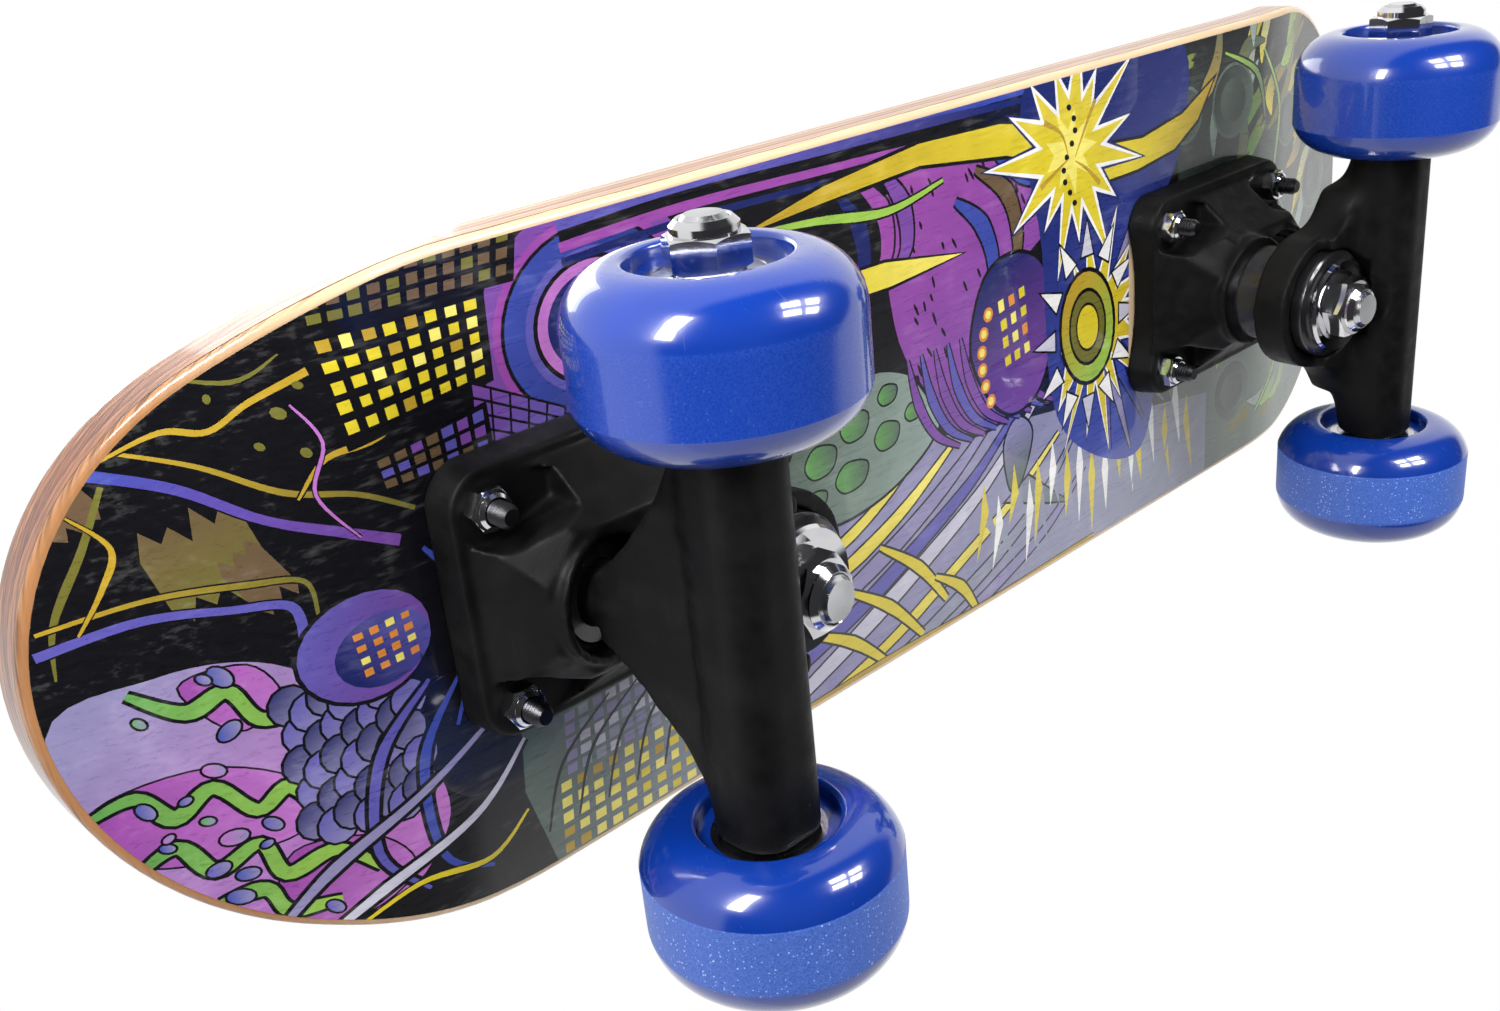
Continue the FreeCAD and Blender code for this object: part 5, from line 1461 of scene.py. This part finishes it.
@dataclass
class Deck:
    """The laminated board with its printed underside and grip paper.

    Attributes:
        lip: how far the print stops short of the board's edge.
        proud: how thick the print is.
        under: how far the print runs under each baseplate.
        flat: the height of the flat underside.
        tail: start, radius and angle of the tail's bend.
        nose: start, radius and angle of the nose's bend.
        step: the longest piece of a bend that is left flat.
        spacing: the shortest step kept along the print's outline, in millimetres.
        cut: how far a baseplate's corners are cut off, in millimetres.
        aside: how far the lines of a bend run to each side, past the board's edge, in millimetres.
        wood: the finish of its wood.
        picture: the finish of its print.
        paper: the finish of its grip paper.
    """

    lip: float = 1.8 * MM
    proud: float = 0.12 * MM
    under: float = 1.0 * MM
    flat: float = 78.5 * MM
    tail: tuple[float, float, float] = TAIL_BEND
    nose: tuple[float, float, float] = NOSE_BEND
    step: float = 1.2 * MM
    spacing: float = 0.7
    cut: float = 6.0
    aside: float = 75.0
    wood: Finish = LaminatedMaple("lacquered maple", colour("c79b6c"), rough=0.34, coat=0.7, coat_rough=0.06,
                                  depth=0.00005)
    picture: Finish = PrintedInk("printed picture", colour("30304a"), rough=0.3, coat=1.0, coat_rough=0.025,
                                 depth=0.00003)
    paper: Finish = GritPaper("grip paper", colour("161617"), rough=0.92, depth=0.0004)

    def underside(self, x: float) -> tuple[float, float]:
        """Where the underside lies.

        Args:
            x: the place along the board.

        Returns:
            Its height, and its slope as an angle.
        """
        start, radius, angle = self.tail if x < 0 else self.nose
        past = max(abs(x) - start, 0.0)
        reach = radius * math.sin(angle)
        inside = min(past, reach)
        rise = radius - math.sqrt(radius**2 - inside**2) + (past - inside) * math.tan(angle)
        return self.flat + rise, math.copysign(math.asin(inside / radius), x)

    def outline(self) -> list[Point]:
        """The print's outline, from the board's own plan and the lip left round it.

        Returns:
            Its corners in millimetres.
        """
        spots = [Vector((v.co.x, v.co.y)) for v in frame["nodes"]["deck"].data.vertices]
        edge = [tuple(spots[i] / MM) for i in convex_hull_2d(spots)]
        kept = [edge[0]]
        for spot in edge[1:]:
            if math.dist(spot, kept[-1]) > self.spacing:
                kept.append(spot)
        return grown(kept, -self.lip / MM)

    def gaps(self) -> list[list[Point]]:
        """Where a baseplate covers the underside and nothing is printed.

        Returns:
            Each gap's corners in millimetres.
        """
        made = []
        for end in ("tail", "nose"):
            low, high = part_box(end + "_baseplate")
            x0, x1 = (low[0] + self.under) / MM, (high[0] - self.under) / MM
            y0, y1 = (low[1] + self.under) / MM, (high[1] - self.under) / MM
            cut = self.cut
            made.append([(x0 + cut, y0), (x1 - cut, y0), (x1, y0 + cut), (x1, y1 - cut), (x1 - cut, y1),
                         (x0 + cut, y1), (x0, y1 - cut), (x0, y0 + cut)])
        return made

    def build(self) -> None:
        """Lay the picture on the underside as flat areas of ink."""
        patches = Artwork().draw(self.gaps())
        outline = self.outline()
        spots: list[Vector] = []
        faces: list[list[int]] = []
        edges: list[tuple[int, int]] = []
        for shape in [outline] + [list(p.outline) for p in patches[1:]]:
            faces.append(list(range(len(spots), len(spots) + len(shape))))
            spots += [Vector(s) for s in shape]
        for (start, radius, angle), end in ((self.tail, -1), (self.nose, 1)):
            reach = radius * math.sin(angle)
            count = math.ceil(reach / self.step)
            for i in range(count + 1):
                x = end * (start + reach * i / count) / MM
                edges.append((len(spots), len(spots) + 1))
                spots += [Vector((x, -self.aside)), Vector((x, self.aside))]
        flat, _, triangles, *_ = delaunay_2d_cdt(spots, edges, faces, 0, 1e-5, True)
        points = np.array([(v.x, v.y) for v in flat])
        corners = np.array([t for t in triangles if len(t) == 3])
        middles = points[corners].mean(axis=1)
        inside = self.holds(middles, outline)
        corners, middles = corners[inside], middles[inside]
        top = np.zeros(len(corners), dtype=int)
        for i, patch in enumerate(patches[1:], start=1):
            top[self.holds(middles, patch.outline)] = i
        printed = np.array([patches[i].ink is not None for i in top])
        corners, top = corners[printed], top[printed]
        self.lay(points, corners, [patches[i] for i in top])
        report("deck_picture", f"{len(patches)} areas of ink, {len(corners)} triangles")

    @staticmethod
    def holds(places: np.ndarray, outline: Sequence[Point]) -> np.ndarray:
        """Which places an outline holds.

        Args:
            places: the places.
            outline: its corners.

        Returns:
            True for each place inside.
        """
        shape = np.array(outline)
        low, high = shape.min(axis=0), shape.max(axis=0)
        near = np.all((places > low) & (places < high), axis=1)
        result = np.zeros(len(places), dtype=bool)
        if not near.any():
            return result
        x, y = places[near, 0][:, None], places[near, 1][:, None]
        ax, ay = shape[:, 0][None], shape[:, 1][None]
        bx, by = np.roll(shape[:, 0], -1)[None], np.roll(shape[:, 1], -1)[None]
        side = (bx - ax) * (y - ay) - (x - ax) * (by - ay)
        rising = ((ay <= y) & (by > y) & (side > 0)).sum(axis=1)
        falling = ((ay > y) & (by <= y) & (side < 0)).sum(axis=1)
        result[near] = rising != falling
        return result

    def lay(self, points: np.ndarray, corners: np.ndarray, inks: Sequence[Patch]) -> None:
        """Make the picture's mesh.

        Args:
            points: the flattened points in millimetres.
            corners: each triangle's points.
            inks: each triangle's patch.
        """
        mesh = bpy.data.meshes.new("deck_picture")
        placed = []
        for x, y in points * MM:
            height, slope = self.underside(x)
            placed.append((x - self.proud * -math.sin(slope), y, height - self.proud * math.cos(slope)))
        mesh.from_pydata(placed, [], [tuple(int(i) for i in c) for c in corners])
        mesh.materials.append(self.picture.material())
        layer = mesh.color_attributes.new("ink", "FLOAT_COLOR", "CORNER")
        values = np.ones((len(mesh.loops), 4), dtype=np.float32)
        shades = {ink: np.array(colour(ink.value)) for ink in Ink}
        for face, patch in zip(mesh.polygons, inks):
            base = shades[patch.ink]
            for corner in face.loop_indices:
                if patch.fade is None:
                    values[corner] = base
                    continue
                (ax, ay), (bx, by) = patch.ends
                x, y = points[mesh.loops[corner].vertex_index]
                run = max((bx - ax) ** 2 + (by - ay) ** 2, 1e-9)
                along = ((x - ax) * (bx - ax) + (y - ay) * (by - ay)) / run
                share = min(max(along, 0.0), 1.0)
                values[corner] = base * (1 - share) + shades[patch.fade] * share
        layer.data.foreach_set("color", values.ravel())
        for face in mesh.polygons:
            face.use_smooth = True
        made = bmesh.new()
        made.from_mesh(mesh)
        loose = [v for v in made.verts if not v.link_faces]
        bmesh.ops.delete(made, geom=loose, context="VERTS")
        for face in made.faces:
            if face.normal.z > 0:
                face.normal_flip()
        made.to_mesh(mesh)
        made.free()
        piece = new_piece("deck_picture", mesh, "board")

    def dress(self) -> None:
        """Finish the wood and the grip paper."""
        dress("deck", self.wood)
        dress("grip_tape", self.paper)


@dataclass
class Truck:
    """One truck: its plastic castings, its bushings and its steel.

    Attributes:
        end: which end of the board it holds.
        grain: how fine the mouldings' surfaces are made.
        passes: how much their edges are eased.
        neck: where the hanger's neck runs into its beam, from the axle's middle.
        reach: how far that blend reaches.
        tilt: how far the kingpin leans, in degrees.
        web: how far from the middle of the hanger's ring the rubber still holds to the ring.
        board_face: from there to the washer under the board-side bushing.
        road_face: from there to the washer on the road-side bushing.
        rings: how many cuts a bushing's walls get.
        plastic: the finish of its castings.
        rubber: the finish of its bushings and pivot cup.
        chrome: the finish of its washers and nuts.
        zinc: the finish of its kingpin and axle.
        black: the finish of its mounting bolts.
    """

    end: str
    grain: float = 0.55 * MM
    passes: int = 8
    neck: Point3 = (5.0 * MM, 28.0 * MM, 11.0 * MM)
    reach: float = 17.0 * MM
    tilt: float = 5.0
    web: float = 2.6 * MM
    board_face: float = 14.57 * MM
    road_face: float = 7.8 * MM
    rings: int = 6
    plastic: Finish = MouldedPlastic("moulded nylon", colour("090909"), rough=0.5, depth=0.00005, gloss=0.14)
    rubber: Finish = BushingRubber("bushing rubber", colour("131315"), rough=0.26, coat=0.3, depth=0.00003)
    chrome: Finish = PlatedSteel("bright chrome", (0.78, 0.78, 0.8, 1.0), rough=0.09, metallic=1.0,
                                 depth=0.00001)
    zinc: Finish = PlatedSteel("zinc plate", (0.66, 0.67, 0.69, 1.0), rough=0.2, metallic=1.0, depth=0.00001)
    black: Finish = PlatedSteel("blackened steel", (0.06, 0.06, 0.065, 1.0), rough=0.34, metallic=1.0,
                                depth=0.00001)

    def build(self) -> None:
        """Make the two mouldings with eased edges, and the bushings."""
        beam = sum((Vector(corner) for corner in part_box(f"{self.end}_axle")), Vector()) / 2
        roots = [((beam.x + self.neck[0] * (1 if self.end == "tail" else -1), side * self.neck[1],
                   beam.z + self.neck[2]), self.reach)
                 for side in (-1, 1)]
        for part, body, blends in (("baseplate", "board", ()), ("hanger", self.end + "_truck", roots)):
            name = f"{self.end}_{part}"
            softened(name + "_casting", name, body, self.grain, self.passes, self.plastic,
                     blends)
        self.bushings()

    def bushings(self) -> None:
        """Make the two bushings, their walls cut into rings between the kingpin's washers and the hanger's
        ring.
        """
        hinge = next(joint for joint in frame["joints"] if joint["name"] == f"{self.end}_steer")
        middle = Vector(hinge["pos_m"])
        lean = math.radians(self.tilt) * (1 if self.end == "nose" else -1)
        up = Vector((math.sin(lean), 0.0, math.cos(lean)))
        for part, far in (("board", self.board_face), ("road", -self.road_face)):
            web = math.copysign(self.web, far)
            giving(f"{self.end}_{part}_rubber", f"{self.end}_{part}_bushing",
                   tuple(middle + up * far), tuple(middle + up * web), self.rings, self.rubber)

    def dress(self) -> None:
        """Finish all its solids."""
        for part, finish in (("pivot_cup", self.rubber), ("kingpin", self.zinc),
                             ("kingpin_washers", self.chrome), ("kingpin_nut", self.chrome),
                             ("mounting_bolts", self.black), ("bolt_nuts", self.chrome),
                             ("axle", self.zinc)):
            dress(f"{self.end}_{part}", finish)


@dataclass
class Roller:
    """One wheel with its bearings.

    Attributes:
        end: which truck it is on.
        side: which side of the board it is on.
        clean: the finish of a wheel that has hardly touched the ground.
        gritty: the finish of a wheel that has been ridden.
        chrome: the finish of its speed washers and its nut.
        race: the finish of its bearings' rings and balls and of the spacer.
        shield: the finish of its bearings' shields.
    """

    end: str
    side: str
    clean: Finish = CastUrethane("cast urethane", colour("08318c"), rough=0.2, coat=1.0, coat_rough=0.015,
                                 depth=0.00003, grit=0.06, tread_rough=0.26, tread_coat=0.8)
    gritty: Finish = CastUrethane("ridden urethane", colour("08318c"), rough=0.2, coat=1.0, coat_rough=0.015,
                                  depth=0.00003, grit=0.7, tread_rough=0.5, tread_coat=0.05)
    chrome: Finish = Truck.chrome
    race: Finish = PlatedSteel("bearing steel", (0.6, 0.61, 0.63, 1.0), rough=0.16, metallic=1.0,
                               depth=0.00001)
    shield: Finish = PlatedSteel("pressed shield", (0.5, 0.51, 0.53, 1.0), rough=0.24, metallic=1.0,
                                 depth=0.00001)

    def dress(self) -> None:
        """Finish all its solids."""
        urethane = self.clean if self.side == "right" else self.gritty
        for part, finish in (("wheel", urethane), ("outer_rings", self.race), ("inner_rings", self.race),
                             ("bearing_balls", self.race), ("bearing_shields", self.shield),
                             ("speed_washers", self.chrome), ("bearing_spacer", self.race),
                             ("axle_nut", self.chrome)):
            dress(f"{self.end}_{self.side}_{part}", finish)


@dataclass
class Studio:
    """The floor, the lights and the camera.

    Attributes:
        eye: the camera's place.
        right: its right-hand direction.
        up: its upward direction.
        focal: its focal length in image widths.
        wall: which way the white wall lies that the lacquer mirrors.
    """

    eye: Point3 = (-0.2768, -0.1252, -0.1530)
    right: Point3 = (0.7162, 0.0949, -0.6913)
    up: Point3 = (0.3375, -0.9142, 0.2242)
    focal: float = 1520 / 1500
    wall: Point3 = (0.236, 0.727, 0.646)

    def camera(self) -> None:
        """Place the camera."""
        lens = bpy.data.cameras.new("camera")
        lens.sensor_width = 36.0
        lens.lens = 36.0 * self.focal
        lens.clip_start = 0.005
        lens.clip_end = 50.0
        holder = bpy.data.objects.new("camera", lens)
        right = Vector(self.right).normalized()
        ahead = Vector(self.up).cross(right).normalized()
        up = right.cross(ahead).normalized()
        holder.matrix_world = Matrix.Translation(self.eye) @ Matrix((right, up, -ahead)).transposed().to_4x4()
        bpy.context.scene.collection.objects.link(holder)
        bpy.context.scene.camera = holder

    def lamp(self, name: str, place: Point3, aim: Point3, size: Point, watts: float,
             mirrored: bool = True) -> None:
        """Place one soft light.

        Args:
            name: its name.
            place: where it stands.
            aim: what it points at.
            size: its width and height.
            watts: its power.
            mirrored: True if glossy surfaces show it.
        """
        light = bpy.data.lights.new(name, "AREA")
        light.shape = "RECTANGLE"
        light.size, light.size_y = size
        light.energy = watts
        holder = bpy.data.objects.new(name, light)
        holder.location = place
        holder.rotation_euler = (Vector(aim) - Vector(place)).to_track_quat("-Z", "Y").to_euler()
        holder.visible_camera = False
        holder.visible_glossy = mirrored
        bpy.context.scene.collection.objects.link(holder)

    def window(self, name: str, place: Point3, aim: Point3, pane: Point, gap: float, watts: float) -> None:
        """Place a light of four panes.

        Args:
            name: its name.
            place: the middle of the panes.
            aim: what it points at.
            pane: each pane's width and height.
            gap: the bar between two panes.
            watts: its whole power.
        """
        turn = (Vector(aim) - Vector(place)).to_track_quat("-Z", "Y")
        for i, (across, up) in enumerate(((-1, -1), (1, -1), (-1, 1), (1, 1))):
            shift = turn @ Vector((across * (pane[0] + gap) / 2, up * (pane[1] + gap) / 2, 0))
            self.lamp(f"{name}_{i}", tuple(Vector(place) + shift), tuple(Vector(aim) + shift), pane,
                      watts / 4)

    def floor(self) -> None:
        """Lay the floor, which shows from above only."""
        mesh = bpy.data.meshes.new("floor")
        half = 6.0
        mesh.from_pydata([(-half, -half, 0), (half, -half, 0), (half, half, 0), (-half, half, 0)], [],
                         [(0, 1, 2, 3)])
        made = bpy.data.materials.new("studio floor")
        made.use_nodes = True
        nodes = NodeTree(made.node_tree)
        made.node_tree.nodes.clear()
        end = nodes.add("OutputMaterial")
        place = nodes.add("TexCoord").outputs["Object"]
        grain = GRAIN.use(nodes, place, Scale=90.0, Broad=0.6)
        paper = nodes.add("BsdfPrincipled", None, Roughness=0.7)
        nodes.feed(paper, "Base_Color",
                   nodes.mixed(nodes.between(grain.outputs["Broad"], 0.3, 0.7), (0.74, 0.74, 0.745, 1.0),
                               (0.78, 0.78, 0.785, 1.0)))
        clear = nodes.add("BsdfTransparent")
        seen = nodes.add("LightPath").outputs["Is Camera Ray"]
        front = nodes.math("SUBTRACT", 1.0, nodes.add("NewGeometry").outputs["Backfacing"])
        mix = nodes.add("MixShader", None, Fac=nodes.math("MULTIPLY", seen, front))
        nodes.tree.links.new(clear.outputs[0], mix.inputs[1])
        nodes.tree.links.new(paper.outputs[0], mix.inputs[2])
        nodes.tree.links.new(mix.outputs[0], end.inputs[0])
        mesh.materials.append(made)
        floor = bpy.data.objects.new("floor", mesh)
        bpy.context.scene.collection.objects.link(floor)

    def surroundings(self) -> None:
        """A white room with one white wall that reaches below the board, and dark ground elsewhere."""
        world = bpy.data.worlds.new("studio")
        bpy.context.scene.world = world
        world.use_nodes = True
        nodes = NodeTree(world.node_tree)
        world.node_tree.nodes.clear()
        end = nodes.add("OutputWorld")
        way = nodes.add("TexCoord").outputs["Generated"]
        height = nodes.add("SeparateXYZ", None, Vector=way).outputs[2]
        wall = nodes.add("VectorMath", {"operation": "DOT_PRODUCT"}, in_0=way,
                         in_1=self.wall).outputs["Value"]
        bright = nodes.math("MAXIMUM", nodes.between(height, -0.16, -0.02),
                            nodes.between(wall, -0.03, 0.09, 0.0, 0.8))
        tone = nodes.mixed(bright, (0.035, 0.035, 0.038, 1.0), (1.0, 1.0, 1.0, 1.0))
        light = nodes.add("Background", None, Color=tone, Strength=1.0)
        nodes.tree.links.new(light.outputs[0], end.inputs[0])

    def build(self) -> None:
        """Set up the whole studio."""
        bpy.context.scene.view_settings.view_transform = "Standard"
        self.camera()
        self.surroundings()
        self.floor()
        middle = (0.0, 0.0, 0.04)
        self.lamp("strip", (-0.36, -0.26, -0.03), (-0.05, -0.04, 0.02), (0.22, 0.07), 1.8)
        self.window("window", (0.10, -0.30, -0.29), (0.0, -0.02, 0.02), (0.10, 0.068), 0.032, 2.2)
        self.lamp("fill", (-0.5, -0.6, -1.2), middle, (1.5, 1.5), 9.5, mirrored=False)
        self.lamp("side", (0.2, -1.6, 0.2), middle, (1.6, 0.8), 6.0, mirrored=False)
        self.lamp("top", (0.3, -0.3, 1.6), middle, (1.2, 0.8), 9.0)


def main() -> None:
    """Build and dress the skateboard, then light it."""
    logging.basicConfig(level=logging.INFO, format="%(name)s %(message)s")
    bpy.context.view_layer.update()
    deck = Deck()
    deck.build()
    deck.dress()
    for end in ("tail", "nose"):
        truck = Truck(end)
        truck.build()
        truck.dress()
        report(end + "_truck", "dressed")
        for side in ("left", "right"):
            Roller(end, side).dress()
            report(f"{end}_{side}_wheel", "dressed")
    Studio().build()


if __name__ == "__main__":
    main()
